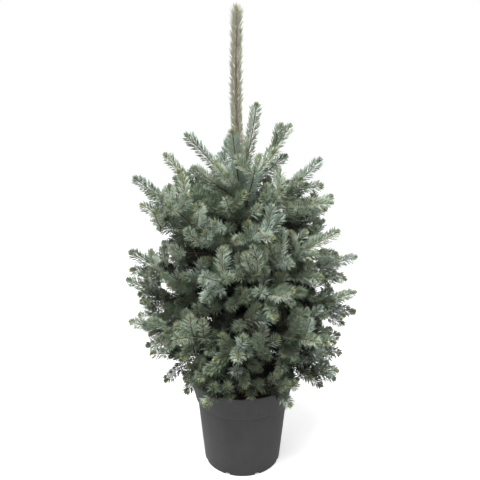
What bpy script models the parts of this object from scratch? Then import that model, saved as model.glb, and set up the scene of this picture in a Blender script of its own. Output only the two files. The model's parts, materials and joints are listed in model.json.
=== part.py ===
"""Potted blue spruce: a young tree about 0.75 m tall, in a round nursery pot.

The trunk is one tapering solid from a flat cut at soil level to the tip. Boughs leave it in whorls. The boughs of the
two lowest whorls show a bare limb first, then their mass of needle sprays begins. Higher up a mass starts at the
trunk. A mass is one solid: a stem with side shoots, each a slim three-sided core that fins of needles stand out of.
Everything is in metres, +Z is up, and the origin is the centre of the pot's flat underside.
"""

import math
from dataclasses import dataclass

import bmesh
import bpy
import numpy as np

# Pot, from its underside up.
POT_HEIGHT = 0.2058
RIM_RADIUS = 0.1138
COLLAR_FOOT_RADIUS = 0.1030
COLLAR_FOOT_HEIGHT = 0.1550
BODY_TOP_RADIUS = 0.0990
BASE_RADIUS = 0.0846
POT_WALL = 0.0024
POT_LIP = 0.0015
POT_FOOT_INSET = 0.0040
POT_FOOT_RISE = 0.0030
COLLAR_STEP = 0.0040
POT_SIDES = 36
DRAIN_NOTCHES = 8
DRAIN_NOTCH_WIDTH = 0.011
DRAIN_NOTCH_HEIGHT = 0.006
DRAIN_NOTCH_DEPTH = 0.012

# Touching pieces keep this gap.
SEAT_GAP = 0.0003

# Soil and trunk.
SOIL_LEVEL = 0.1860
SOIL_EDGE_DROP = 0.0040
SOIL_FLAT_RADIUS = 0.030
TRUNK_FOOT_RADIUS = 0.0095
TRUNK_TIP_RADIUS = 0.0016
TRUNK_TIP_HEIGHT = 0.9440
TRUNK_SIDES = 8
TRUNK_RINGS = 20
TRUNK_TAPER_POWER = 0.85
TRUNK_RING_CROWDING = 1.5
ROOT_FLARE = 0.0045
ROOT_FLARE_HEIGHT = 0.012
TOP_WHORL_HEIGHT = 0.600
LOWER_LEAN = -0.0040
LEADER_SWAY = -0.0085
LEADER_SWAY_WAVE = 0.75
TRUNK_BOW = 0.0040

# Shoots. An axis is sampled at AXIS_STEP, and one year's growth lies between two knots.
AXIS_STEP = 0.008
KNOT_SPACING = 0.078
KNOT_JITTER = 0.004
MOST_YEARS = 4
SIDE_ANGLE = 47.0
SIDE_ANGLE_PER_YEAR = 4.0
SIDE_ANGLE_JITTER = 5.0
SIDE_TILTS = (-8.0, 16.0)
SIDE_SHARES = (0.58, 0.72, 0.78)
SIDE_LENGTHS = (0.88, 1.10)
LONGEST_SIDE_SHOOT = 0.105
SHORTEST_SHOOT = 0.042
UPPER_SHOOT = 0.062
LOWER_SHOOT = 0.055
UPRIGHT_GAIN_PER_YEAR = 0.2
UPRIGHT_SWAY = 0.35
FORWARD_BEND = 10.0
GROWTH_SEED = 15

# Room that an axis keeps to what is there already.
ROOM_TO_OTHER_MASS = 0.019
ROOM_IN_MASS = 0.014
ROOM_TO_LIMB = 0.016
ROOM_TO_TRUNK = 0.020
ROOM_TO_POT = 0.014

# Sprays: the core of a shoot, and the fins of needles on it.
STEM_RADIUS = 0.0034
SIDE_STEM_RADIUS = 0.0029
ROOT_RADIUS = 0.0013
NECK_LENGTH = 0.012
STEM_TAPER = 0.70
RING_PITCH = 0.031
RING_TWIST = 75.0
FIN_REACH = 0.0145
FIN_FORWARD = 0.0105
FIN_ROOM = 0.0016
FIN_ROOM_IN_MASS = 0.003
FIN_SHRINK = (1.0, 0.8, 0.6, 0.42)
BUD_LENGTH = 0.006

# Limbs and the leader's sleeve of needles.
LIMB_FOOT_RADIUS = 0.0050
LIMB_TIP_RADIUS = 0.0040
LIMB_SIDES = 6
LIMB_RINGS = 4
SLEEVE_START = 0.646
SLEEVE_SIDES = 6
SLEEVE_WALL = 0.0012
SLEEVE_FIN_REACH = 0.0065
SLEEVE_FIN_FORWARD = 0.0120
LEADER_TOP = 0.9550
LEADER_MASS = -1

# Base colours, as linear red, green and blue.
PLASTIC_COLOUR = (0.066, 0.066, 0.071)
PEAT_COLOUR = (0.030, 0.020, 0.014)
BARK_COLOUR = (0.130, 0.075, 0.042)
NEEDLE_COLOUR = (0.180, 0.260, 0.235)

UP = np.array((0.0, 0.0, 1.0))

# Whorls from the top down: name, height on the trunk, bare share of each bough, years of side shoots, and the boughs
# as (height offset, bearing, rise, bend, length). Bearing 0 is +X and 90 is +Y. Rise is the angle above level where
# the bough leaves the trunk, and bend is how far it turns up on its way. Angles are in degrees.
WHORLS = (
    ("crown", TOP_WHORL_HEIGHT, 0.0, 0, (
        (0.000, 188, 51, -4, 0.156),
        (0.000, 8, 53, 2, 0.162),
        (0.006, 256, 62, 4, 0.134),
        (0.010, 52, 68, 8, 0.168),
        (-0.012, 213, 33, 6, 0.124),
        (-0.006, 122, 42, 4, 0.108),
    )),
    ("collar", 0.530, 0.0, 1, (
        (-0.006, 253, 36, 12, 0.122),
        (0.006, 290, 56, 6, 0.146),
    )),
    ("shoulder", 0.500, 0.0, 2, (
        (0.006, 357, 45, 4, 0.222),
        (0.006, 168, 46, 3, 0.226),
        (-0.006, 196, 24, 4, 0.216),
        (0.002, 281, 18, 10, 0.165),
        (-0.008, 26, 19, 4, 0.230),
        (0.000, 98, 34, 8, 0.185),
    )),
    ("upper", 0.410, 0.0, 3, (
        (0.014, 213, 53, -14, 0.318),
        (-0.006, 4, 13, 2, 0.242),
        (0.008, 342, 30, 4, 0.226),
        (-0.006, 292, 12, 6, 0.210),
        (0.004, 251, 18, 8, 0.214),
        (-0.004, 160, 20, 6, 0.190),
        (0.010, 128, 26, 8, 0.225),
        (0.000, 66, 22, 8, 0.235),
    )),
    ("middle", 0.320, 0.30, 3, (
        (0.010, 186, 34, 2, 0.270),
        (-0.008, 170, 15, 10, 0.262),
        (0.006, 358, 12, 8, 0.240),
        (-0.003, 311, 7, 8, 0.215),
        (0.009, 268, 3, 6, 0.214),
        (-0.002, 234, 9, 8, 0.208),
        (0.004, 118, 14, 10, 0.230),
        (-0.006, 42, 16, 10, 0.238),
    )),
    ("skirt", 0.243, 0.30, 3, (
        (0.006, 356, 11, 6, 0.206),
        (-0.008, 335, 4, 4, 0.206),
        (0.002, 302, -6, -6, 0.172),
        (-0.010, 249, -1, 6, 0.188),
        (0.000, 206, 13, 4, 0.203),
        (0.012, 184, 17, 2, 0.242),
        (-0.004, 150, 4, 8, 0.205),
        (0.004, 90, 2, 10, 0.205),
        (-0.006, 32, 6, 10, 0.210),
    )),
)

# Forks beside the ring of side shoots: bough name to (distance from its foot, bearing, rise, length).
FORKS = {
    "crown_2": ((0.030, 24, 27, 0.088), (0.112, 10, 78, 0.044)),
}


def unit(vector):
    return vector / np.linalg.norm(vector)


def heading(bearing, rise):
    """The direction of a compass bearing and a rise above level, both in degrees."""
    level = math.cos(math.radians(rise))
    return np.array((
        level * math.cos(math.radians(bearing)),
        level * math.sin(math.radians(bearing)),
        math.sin(math.radians(rise)),
    ))


def trunk_point(height):
    """The trunk's centre line: a slight lean, then the leader's sway above the top whorl."""
    share = max(0.0, (height - SOIL_LEVEL) / (TRUNK_TIP_HEIGHT - SOIL_LEVEL))
    lower = min(1.0, max(0.0, (height - SOIL_LEVEL) / (TOP_WHORL_HEIGHT - SOIL_LEVEL)))
    leader = max(0.0, (height - TOP_WHORL_HEIGHT) / (TRUNK_TIP_HEIGHT - TOP_WHORL_HEIGHT))
    lean = LOWER_LEAN * lower + LEADER_SWAY * math.sin(LEADER_SWAY_WAVE * math.pi * leader)
    return np.array((lean, TRUNK_BOW * math.sin(math.pi * share), height))


def trunk_radius(height):
    share = min(1.0, max(0.0, (height - SOIL_LEVEL) / (TRUNK_TIP_HEIGHT - SOIL_LEVEL)))
    flare = ROOT_FLARE * math.exp(-(height - SOIL_LEVEL) / ROOT_FLARE_HEIGHT)
    return TRUNK_FOOT_RADIUS + (TRUNK_TIP_RADIUS - TRUNK_FOOT_RADIUS) * share**TRUNK_TAPER_POWER + flare


def arc(start, direction, toward, bend, length):
    """Points along an axis that leaves start on direction and turns towards another direction by bend degrees."""
    steps = max(3, round(length / AXIS_STEP))
    across = unit(toward - direction * np.dot(toward, direction))
    points = [np.array(start)]
    for step in range(steps):
        turn = math.radians(bend) * (step + 0.5) / steps
        points.append(points[-1] + (direction * math.cos(turn) + across * math.sin(turn)) * length / steps)
    return np.array(points)


def length_of(points):
    return float(np.linalg.norm(np.diff(points, axis=0), axis=1).sum())


@dataclass
class Shoot:
    """One shoot's axis, the number of the mass that it belongs to, its order, and the level direction across it."""

    points: np.ndarray
    mass: int
    order: int
    side: np.ndarray

    def __post_init__(self):
        steps = np.linalg.norm(np.diff(self.points, axis=0), axis=1)
        self.along = np.concatenate([[0.0], np.cumsum(steps)])
        self.length = float(self.along[-1])

    def at(self, distance):
        distance = min(max(distance, 0.0), self.length)
        return np.array([np.interp(distance, self.along, self.points[:, axis]) for axis in range(3)])

    def tangent(self, distance):
        reach = AXIS_STEP / 2
        return unit(self.at(min(distance + reach, self.length)) - self.at(max(distance - reach, 0.0)))

    def top(self, distance):
        """The upper side of the shoot."""
        up = unit(np.cross(self.side, self.tangent(distance)))
        return -up if up[2] < 0 else up


@dataclass
class Bough:
    """A bough: its name, its bare limb as points, or None, and the years of side shoots on its mass."""

    name: str
    limb: np.ndarray | None
    years: int
    stem: Shoot


def make_boughs():
    boughs = []
    for whorl, height, bare_share, years, rows in WHORLS:
        for number, (offset, bearing, rise, bend, length) in enumerate(rows, start=1):
            side = heading(bearing + 90, 0)
            path = arc(trunk_point(height + offset), heading(bearing, rise), UP, bend, length)
            whole = Shoot(path, len(boughs), 0, side)
            bare = bare_share * length
            outer = path[whole.along > bare + AXIS_STEP / 3]
            limb = None
            if bare:
                limb = np.vstack([path[whole.along < bare - AXIS_STEP / 3], whole.at(bare)])
            start = whole.at(bare + SEAT_GAP) if bare else path[0]
            stem = Shoot(np.vstack([start, outer]) if bare else path, len(boughs), 0, side)
            boughs.append(Bough(f"{whorl}_{number}", limb, years, stem))
    return boughs


def distances(points, starts, ends):
    """The distance from each point to each straight piece of axis."""
    along = ends - starts
    away = points[:, None, :] - starts[None]
    share = np.clip((away * along[None]).sum(2) / (along * along).sum(1)[None], 0.0, 1.0)
    return np.linalg.norm(away - share[..., None] * along[None], axis=2)


class Tree:
    """The shoots so far, and the rules that keep a new one clear of them."""

    def __init__(self, boughs):
        self.boughs = boughs
        self.shoots = [bough.stem for bough in boughs]
        self.random = np.random.default_rng(GROWTH_SEED)
        heights = np.arange(SOIL_LEVEL, TRUNK_TIP_HEIGHT, 0.01)
        self.trunk = np.array([trunk_point(height) for height in heights])

    def free_points(self, points, mass, parent):
        """How many of the leading points have room round them."""
        lines = [(self.trunk, ROOM_TO_TRUNK)]
        lines += [(bough.limb, ROOM_TO_LIMB) for bough in self.boughs if bough.limb is not None]
        for shoot in self.shoots:
            if shoot is not parent:
                lines.append((shoot.points, ROOM_IN_MASS if shoot.mass == mass else ROOM_TO_OTHER_MASS))
        starts = np.concatenate([line[:-1] for line, room in lines])
        ends = np.concatenate([line[1:] for line, room in lines])
        rooms = np.concatenate([np.full(len(line) - 1, room) for line, room in lines])
        crowded = (distances(points, starts, ends) < rooms[None]).any(1)
        over_pot = np.hypot(points[:, 0], points[:, 1]) < RIM_RADIUS + ROOM_TO_POT
        crowded |= over_pot & (points[:, 2] < POT_HEIGHT + ROOM_TO_POT)
        crowded[:2] = False
        return int(np.argmax(crowded)) if crowded.any() else len(points)

    def add(self, parent, distance, direction, length, bend=FORWARD_BEND):
        """Grows a shoot from its parent, cut back to where it has room, and skips it if little is left."""
        tangent = parent.tangent(distance)
        points = arc(parent.at(distance), direction, tangent, bend, length)
        points = points[: self.free_points(points, parent.mass, parent)]
        if length_of(points) < SHORTEST_SHOOT:
            return
        side = unit(np.cross(parent.top(distance), direction))
        self.shoots.append(Shoot(points, parent.mass, parent.order + 1, side))

    def add_side_shoots(self, stem, year, distance):
        """A pair of side shoots at a knot, shorter towards the tip."""
        share = SIDE_SHARES[min(year, len(SIDE_SHARES) - 1)]
        for hand in (1, -1):
            jitter = self.random.uniform(-SIDE_ANGLE_JITTER, SIDE_ANGLE_JITTER)
            angle = math.radians(SIDE_ANGLE + SIDE_ANGLE_PER_YEAR * year + jitter)
            tilt = math.radians(self.random.uniform(*SIDE_TILTS))
            length = share * (stem.length - distance) * self.random.uniform(*SIDE_LENGTHS)
            direction = stem.tangent(distance) * math.cos(angle) + stem.side * hand * math.sin(angle)
            direction = unit(unit(direction) + stem.top(distance) * math.sin(tilt))
            self.add(stem, distance, direction, min(length, LONGEST_SIDE_SHOOT))

    def add_upright_shoots(self, stem, year, distance):
        """A shoot above the stem and one below it, which fill the crown between two whorls."""
        for hand, length in ((1, UPPER_SHOOT), (-1, LOWER_SHOOT)):
            sway = self.random.uniform(-UPRIGHT_SWAY, UPRIGHT_SWAY)
            if hand == 1 and year == 0 and self.boughs[stem.mass].limb is None:
                continue
            direction = unit(stem.tangent(distance) + stem.top(distance) * hand + stem.side * sway)
            self.add(stem, distance, direction, length * (1 + UPRIGHT_GAIN_PER_YEAR * year))

    def grow(self):
        stems = list(self.shoots)
        for stem in stems:
            for distance, bearing, rise, length in FORKS.get(self.boughs[stem.mass].name, ()):
                self.add(stem, distance, heading(bearing, rise), length)
        for add in (self.add_side_shoots, self.add_upright_shoots):
            for year in range(MOST_YEARS):
                for stem in stems:
                    jitter = self.random.uniform(-KNOT_JITTER, KNOT_JITTER)
                    distance = stem.length - KNOT_SPACING * (year + 1) + jitter
                    if year < self.boughs[stem.mass].years and distance > -KNOT_SPACING / 2:
                        add(stem, year, max(distance, AXIS_STEP))


def make_material(name, colour, roughness):
    material = bpy.data.materials.new(name)
    material.use_nodes = True
    shader = material.node_tree.nodes["Principled BSDF"]
    shader.inputs["Base Color"].default_value = (*colour, 1.0)
    shader.inputs["Roughness"].default_value = roughness
    shader.inputs["Metallic"].default_value = 0.0
    return material


def add_object(name, mesh, material):
    thing = bpy.data.objects.new(name, mesh)
    mesh.materials.clear()
    mesh.materials.append(material)
    bpy.context.scene.collection.objects.link(thing)
    return thing


def mesh_from(name, vertices, faces):
    mesh = bpy.data.meshes.new(name)
    mesh.from_pydata([tuple(map(float, vertex)) for vertex in vertices], [], faces)
    mesh.update()
    return mesh


def tube(centres, sideways, radii, sides, turns):
    """Rings of points round an axis. Each ring lies across the axis, and turns gives its turn in degrees."""
    vertices = []
    for index, (centre, radius) in enumerate(zip(centres, radii)):
        before = centres[max(index - 1, 0)]
        after = centres[min(index + 1, len(centres) - 1)]
        tangent = unit(after - before)
        across = unit(sideways - tangent * np.dot(sideways, tangent))
        upward = np.cross(tangent, across)
        for corner in range(sides):
            angle = math.radians(turns[index]) + 2 * math.pi * corner / sides
            vertices.append(centre + (across * math.cos(angle) + upward * math.sin(angle)) * radius)
    return vertices


def smooth_tube(name, centres, sideways, radii, sides):
    """A closed tapering limb with flat ends."""
    vertices = tube(centres, sideways, radii, sides, [0.0] * len(centres))
    faces = [tuple(reversed(range(sides)))]
    for ring in range(len(centres) - 1):
        for corner in range(sides):
            low, next_low = ring * sides + corner, ring * sides + (corner + 1) % sides
            faces.append((low, next_low, next_low + sides, low + sides))
    faces.append(tuple(range((len(centres) - 1) * sides, len(centres) * sides)))
    return mesh_from(name, vertices, faces)


def apply_boolean(thing, operation, **operand):
    """Applies a Boolean and returns the object with its new mesh."""
    modifier = thing.modifiers.new(operation.lower(), "BOOLEAN")
    modifier.operation = operation
    modifier.solver = "EXACT"
    for key, value in operand.items():
        setattr(modifier, key, value)
    graph = bpy.context.evaluated_depsgraph_get()
    mesh = bpy.data.meshes.new_from_object(thing.evaluated_get(graph), depsgraph=graph)
    thing.modifiers.remove(modifier)
    thing.data = mesh
    return thing


def keep_main_shell(mesh):
    """Fills what fusing sealed and drops loose scraps: only the shell with the largest volume stays."""
    build = bmesh.new()
    build.from_mesh(mesh)
    bmesh.ops.triangulate(build, faces=build.faces)
    waiting = set(build.faces)
    shells = []
    while waiting:
        shell = set()
        border = [waiting.pop()]
        while border:
            face = border.pop()
            shell.add(face)
            for edge in face.edges:
                for neighbour in edge.link_faces:
                    if neighbour in waiting:
                        waiting.remove(neighbour)
                        border.append(neighbour)
        volume = sum(face.verts[0].co.dot(face.verts[1].co.cross(face.verts[2].co)) / 6 for face in shell)
        shells.append((volume, shell))
    main_shell = max(shells, key=lambda pair: pair[0])[1]
    extra = [face for face in build.faces if face not in main_shell]
    bmesh.ops.delete(build, geom=extra, context="FACES")
    build.to_mesh(mesh)
    build.free()


def make_trunk(extra, bottom, top, name):
    """The trunk, or with extra radius the space that it needs."""
    shares = [(ring / TRUNK_RINGS) ** TRUNK_RING_CROWDING for ring in range(TRUNK_RINGS + 1)]
    heights = [bottom + (top - bottom) * share for share in shares]
    centres = [trunk_point(height) for height in heights]
    radii = [trunk_radius(max(height, SOIL_LEVEL)) + extra for height in heights]
    return smooth_tube(name, centres, np.array((1.0, 0.0, 0.0)), radii, TRUNK_SIDES)


def fin_tip(base, outward, forward, reach, lean, others, own):
    """The tip of a fin of needles, drawn back until it is nearer to its own axis than to any other."""
    for shrink in FIN_SHRINK:
        tip = base + (outward * reach + forward * lean) * shrink
        over_pot = math.hypot(tip[0], tip[1]) < RIM_RADIUS + FIN_ROOM
        if over_pot and tip[2] < POT_HEIGHT + FIN_ROOM:
            continue
        starts, ends, rooms = others
        own_distance = distances(tip[None], *own)[0].min()
        if (distances(tip[None], starts, ends)[0] - rooms > own_distance).all():
            return tip
    return None


def finned_core(name, centres, sideways, radii, sides, reach, lean, others, own, neck):
    """A slim core closed by a bud. Past its neck every side face carries a fin, and all faces point outwards."""
    turns = [RING_TWIST * ring for ring in range(len(centres))]
    if sides > 3:
        turns = [180.0 / sides * ring for ring in range(len(centres))]
    vertices = tube(centres, sideways, radii, sides, turns)
    faces = [tuple(reversed(range(sides)))]
    for ring in range(len(centres) - 1):
        axis_middle = (centres[ring] + centres[ring + 1]) / 2
        forward = unit(centres[ring + 1] - centres[ring])
        for corner in range(sides):
            low, next_low = ring * sides + corner, ring * sides + (corner + 1) % sides
            high, next_high = low + sides, next_low + sides
            for face in ((low, next_low, high), (next_low, next_high, high)):
                base = sum(vertices[index] for index in face) / 3
                outward = base - axis_middle
                outward = unit(outward - forward * np.dot(outward, forward))
                tip = fin_tip(base, outward, forward, reach, lean, others, own) if ring >= neck else None
                if tip is None:
                    faces.append(face)
                    continue
                vertices.append(tip)
                top = len(vertices) - 1
                for first, second in zip(face, face[1:] + face[:1]):
                    faces.append((first, second, top))
    vertices.append(centres[-1] + unit(centres[-1] - centres[-2]) * BUD_LENGTH)
    top = len(vertices) - 1
    last = (len(centres) - 1) * sides
    for corner in range(sides):
        faces.append((last + corner, last + (corner + 1) % sides, top))
    return mesh_from(name, vertices, faces)


def pieces_of(points):
    return points[:-1], points[1:]


def other_axes(shoot, tree):
    """Starts and ends of every axis but this shoot's, and the room that its fins keep to each."""
    lines = []
    for low, high in zip(tree.trunk[:-1], tree.trunk[1:]):
        lines.append((np.array((low, high)), trunk_radius(low[2]) + FIN_ROOM))
    for bough in tree.boughs:
        if bough.limb is not None:
            lines.append((bough.limb, LIMB_TIP_RADIUS + FIN_ROOM))
    for other in tree.shoots:
        if other is not shoot:
            lines.append((other.points, FIN_ROOM_IN_MASS if other.mass == shoot.mass else FIN_ROOM))
    starts = np.concatenate([line[:-1] for line, room in lines])
    ends = np.concatenate([line[1:] for line, room in lines])
    rooms = np.concatenate([np.full(len(line) - 1, room) for line, room in lines])
    return starts, ends, rooms


def spray_mesh(shoot, tree):
    """One shoot of a mass as a finned core."""
    neck = NECK_LENGTH if shoot.order else 0.0
    rings = max(2, round((shoot.length - neck) / RING_PITCH)) + 1
    spots = np.linspace(neck, shoot.length, rings)
    thick = SIDE_STEM_RADIUS if shoot.order else STEM_RADIUS
    radii = np.linspace(thick, thick * STEM_TAPER, rings)
    if shoot.order:
        spots = np.insert(spots, 0, 0.0)
        radii = np.insert(radii, 0, ROOT_RADIUS)
    centres = [shoot.at(spot) for spot in spots]
    others = other_axes(shoot, tree)
    own = pieces_of(shoot.points)
    return finned_core(
        "spray", centres, shoot.side, radii, 3, FIN_REACH, FIN_FORWARD, others, own, shoot.order
    )


def make_mass(bough, tree, needles, trunk_space):
    """A mass of foliage: its stem and side shoots fused into one solid, seated on its limb or on the trunk."""
    shoots = [shoot for shoot in tree.shoots if shoot.mass == bough.stem.mass]
    thing = add_object(f"{bough.name}_needles", spray_mesh(shoots[0], tree), needles)
    helpers = bpy.data.collections.new("side shoots")
    for shoot in shoots[1:]:
        helper = bpy.data.objects.new("side shoot", spray_mesh(shoot, tree))
        helpers.objects.link(helper)
    if len(shoots) > 1:
        bpy.context.scene.collection.children.link(helpers)
        apply_boolean(thing, "UNION", operand_type="COLLECTION", collection=helpers)
    if bough.limb is None:
        apply_boolean(thing, "DIFFERENCE", object=trunk_space)
    for helper in list(helpers.objects):
        bpy.data.objects.remove(helper)
    bpy.data.collections.remove(helpers)
    keep_main_shell(thing.data)
    return thing


def make_limb(bough, bark, trunk_space):
    spots = np.linspace(0, len(bough.limb) - 1, LIMB_RINGS).round().astype(int)
    radii = np.linspace(LIMB_FOOT_RADIUS, LIMB_TIP_RADIUS, LIMB_RINGS)
    mesh = smooth_tube(bough.name, list(bough.limb[spots]), bough.stem.side, radii, LIMB_SIDES)
    thing = add_object(f"{bough.name}_bough", mesh, bark)
    return apply_boolean(thing, "DIFFERENCE", object=trunk_space)


def make_leader_needles(tree, needles, trunk_space):
    """The sleeve of needles round the leader, open below and closed over the trunk's tip."""
    rings = round((LEADER_TOP - SLEEVE_START) / RING_PITCH) + 1
    heights = np.linspace(SLEEVE_START, LEADER_TOP - BUD_LENGTH, rings)
    centres = [trunk_point(height) for height in heights]
    inner = math.cos(math.pi / SLEEVE_SIDES)
    radii = [(trunk_radius(height) + SEAT_GAP + SLEEVE_WALL) / inner for height in heights]
    leader = Shoot(np.array(centres), LEADER_MASS, 0, np.array((1.0, 0.0, 0.0)))
    others = tuple(values[len(tree.trunk) - 1 :] for values in other_axes(leader, tree))
    own = pieces_of(leader.points)
    mesh = finned_core(
        "leader", centres, leader.side, radii, SLEEVE_SIDES,
        SLEEVE_FIN_REACH, SLEEVE_FIN_FORWARD, others, own, 0,
    )
    thing = add_object("leader_needles", mesh, needles)
    return apply_boolean(thing, "DIFFERENCE", object=trunk_space)


def turned(name, profile, sides):
    """A closed solid of revolution. The profile runs from the axis at the bottom, round outside, back to the axis."""
    rim = profile[1:-1]
    vertices = [(0.0, 0.0, profile[0][1])]
    for radius, height in rim:
        for corner in range(sides):
            angle = 2 * math.pi * corner / sides
            vertices.append((radius * math.cos(angle), radius * math.sin(angle), height))
    vertices.append((0.0, 0.0, profile[-1][1]))
    top = len(vertices) - 1
    faces = []
    for corner in range(sides):
        following = (corner + 1) % sides
        faces.append((0, 1 + following, 1 + corner))
        for ring in range(len(rim) - 1):
            low = 1 + ring * sides
            faces.append((low + corner, low + following, low + sides + following, low + sides + corner))
        last = 1 + (len(rim) - 1) * sides
        faces.append((last + corner, last + following, top))
    return mesh_from(name, vertices, faces)


def wall_radius(height):
    """The outer radius of the pot's body below the collar."""
    return BASE_RADIUS + (BODY_TOP_RADIUS - BASE_RADIUS) * height / COLLAR_FOOT_HEIGHT


def collar_radius(height):
    """The outer radius of the collar above the body."""
    share = (height - COLLAR_FOOT_HEIGHT) / (POT_HEIGHT - COLLAR_FOOT_HEIGHT)
    return COLLAR_FOOT_RADIUS + (RIM_RADIUS - COLLAR_FOOT_RADIUS) * share


def make_pot(plastic):
    under_collar = COLLAR_FOOT_HEIGHT - COLLAR_STEP
    in_collar = COLLAR_FOOT_HEIGHT + COLLAR_STEP
    profile = [
        (0.0, 0.0),
        (wall_radius(0.0) - POT_FOOT_INSET, 0.0),
        (wall_radius(0.0), POT_FOOT_RISE),
        (wall_radius(under_collar), under_collar),
        (COLLAR_FOOT_RADIUS, COLLAR_FOOT_HEIGHT),
        (RIM_RADIUS, POT_HEIGHT - POT_LIP),
        (RIM_RADIUS - POT_LIP, POT_HEIGHT),
        (RIM_RADIUS - POT_WALL, POT_HEIGHT),
        (collar_radius(in_collar) - POT_WALL, in_collar),
        (wall_radius(under_collar) - POT_WALL, under_collar - COLLAR_STEP),
        (wall_radius(POT_WALL) - POT_WALL, POT_WALL),
        (0.0, POT_WALL),
    ]
    pot = add_object("pot", turned("pot", profile, POT_SIDES), plastic)
    cutters = bpy.data.collections.new("drain notches")
    bpy.context.scene.collection.children.link(cutters)
    for number in range(DRAIN_NOTCHES):
        mesh = bpy.data.meshes.new("drain notch")
        build = bmesh.new()
        bmesh.ops.create_cube(build, size=1.0)
        bmesh.ops.scale(build, vec=(DRAIN_NOTCH_DEPTH, DRAIN_NOTCH_WIDTH, 2 * DRAIN_NOTCH_HEIGHT), verts=build.verts)
        build.to_mesh(mesh)
        build.free()
        notch = bpy.data.objects.new("drain notch", mesh)
        bearing = 2 * math.pi * (number + 0.5) / DRAIN_NOTCHES
        notch.location = (BASE_RADIUS * math.cos(bearing), BASE_RADIUS * math.sin(bearing), 0.0)
        notch.rotation_euler = (0.0, 0.0, bearing)
        cutters.objects.link(notch)
    apply_boolean(pot, "DIFFERENCE", operand_type="COLLECTION", collection=cutters)
    for notch in list(cutters.objects):
        bpy.data.objects.remove(notch)
    bpy.data.collections.remove(cutters)
    return pot


def make_soil(peat):
    clear = POT_WALL + SEAT_GAP
    under_collar = COLLAR_FOOT_HEIGHT - COLLAR_STEP
    in_collar = COLLAR_FOOT_HEIGHT + COLLAR_STEP
    edge = SOIL_LEVEL - SOIL_EDGE_DROP
    profile = [
        (0.0, clear),
        (wall_radius(clear) - clear, clear),
        (wall_radius(under_collar) - clear, under_collar - COLLAR_STEP),
        (collar_radius(in_collar) - clear, in_collar),
        (collar_radius(edge) - clear - SEAT_GAP, edge),
        (SOIL_FLAT_RADIUS, SOIL_LEVEL),
        (0.0, SOIL_LEVEL),
    ]
    return add_object("potting_soil", turned("potting soil", profile, POT_SIDES), peat)


def main():
    for thing in list(bpy.data.objects):
        bpy.data.objects.remove(thing)
    plastic = make_material("pot plastic", PLASTIC_COLOUR, 0.55)
    peat = make_material("peat soil", PEAT_COLOUR, 0.95)
    bark = make_material("spruce bark", BARK_COLOUR, 0.85)
    needles = make_material("blue spruce needles", NEEDLE_COLOUR, 0.60)

    make_pot(plastic)
    make_soil(peat)
    foot = SOIL_LEVEL + SEAT_GAP
    add_object("trunk", make_trunk(0.0, foot, TRUNK_TIP_HEIGHT, "trunk"), bark)
    space = make_trunk(SEAT_GAP, SOIL_LEVEL - 0.01, TRUNK_TIP_HEIGHT + SEAT_GAP, "trunk space")
    trunk_space = add_object("trunk_space", space, bark)
    trunk_space.hide_render = True
    trunk_space.display_type = "WIRE"

    tree = Tree(make_boughs())
    tree.grow()
    for bough in tree.boughs:
        if bough.limb is not None:
            make_limb(bough, bark, trunk_space)
        make_mass(bough, tree, needles, trunk_space)
    make_leader_needles(tree, needles, trunk_space)


main()
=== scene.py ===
# %% [markdown]
# # A potted blue spruce
#
# This lesson dresses a young blue spruce in a nursery pot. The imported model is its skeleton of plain
# solids. Each step puts the real surface on one kind of piece: moulded plastic, peat, bark, twigs, buds and
# needles. Lengths are in metres, +Z is up, and the origin is the centre of the pot's underside.

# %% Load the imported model
import copy
import json
import math

import bmesh
import bpy
import numpy as np
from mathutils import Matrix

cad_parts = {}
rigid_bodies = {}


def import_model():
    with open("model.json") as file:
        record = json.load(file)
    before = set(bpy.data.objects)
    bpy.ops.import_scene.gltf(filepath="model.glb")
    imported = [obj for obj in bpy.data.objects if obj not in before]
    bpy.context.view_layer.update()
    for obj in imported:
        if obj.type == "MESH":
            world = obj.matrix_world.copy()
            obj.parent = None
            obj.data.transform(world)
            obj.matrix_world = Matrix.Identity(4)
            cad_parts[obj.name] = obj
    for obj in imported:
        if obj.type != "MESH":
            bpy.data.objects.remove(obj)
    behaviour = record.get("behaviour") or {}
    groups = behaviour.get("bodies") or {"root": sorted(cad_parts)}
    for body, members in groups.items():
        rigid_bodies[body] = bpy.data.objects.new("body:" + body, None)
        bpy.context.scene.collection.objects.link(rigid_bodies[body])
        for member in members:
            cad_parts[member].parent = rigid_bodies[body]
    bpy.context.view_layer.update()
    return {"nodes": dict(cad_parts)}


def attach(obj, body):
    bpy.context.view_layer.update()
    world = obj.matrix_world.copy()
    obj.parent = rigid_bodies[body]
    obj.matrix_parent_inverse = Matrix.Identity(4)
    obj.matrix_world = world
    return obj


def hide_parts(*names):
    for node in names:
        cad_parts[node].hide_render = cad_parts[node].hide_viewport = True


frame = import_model()
MM = 0.001
print("nodes in the packed model:", len(frame["nodes"]))

# %% [markdown]
# ## Small tools
#
# Node trees are long to write by hand, so one function adds any node with its settings and its links.
# Another turns a colour that is read off a colour chart, such as 8C9A90, into the linear numbers that a
# shader works with.

# %% Tools for nodes and colours
PRINCIPLED = "Principled BSDF"


def linear(colour):
    """Linear red, green, blue and alpha of an sRGB hex colour."""
    channels = [int(colour[place:place + 2], 16) / 255 for place in (0, 2, 4)]
    lit = [c / 12.92 if c <= 0.04045 else ((c + 0.055) / 1.055) ** 2.4 for c in channels]
    return (*lit, 1.0)


def feed(tree, node, inputs):
    """Sets a node's inputs, by name or number, to values, to other nodes' output sockets, or to other nodes,
    which give the first output that they use."""
    for key, value in inputs.items():
        if isinstance(value, bpy.types.Node):
            value = next(socket for socket in value.outputs if socket.enabled)
        if isinstance(value, bpy.types.NodeSocket):
            tree.links.new(value, node.inputs[key])
        else:
            node.inputs[key].default_value = value


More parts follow.
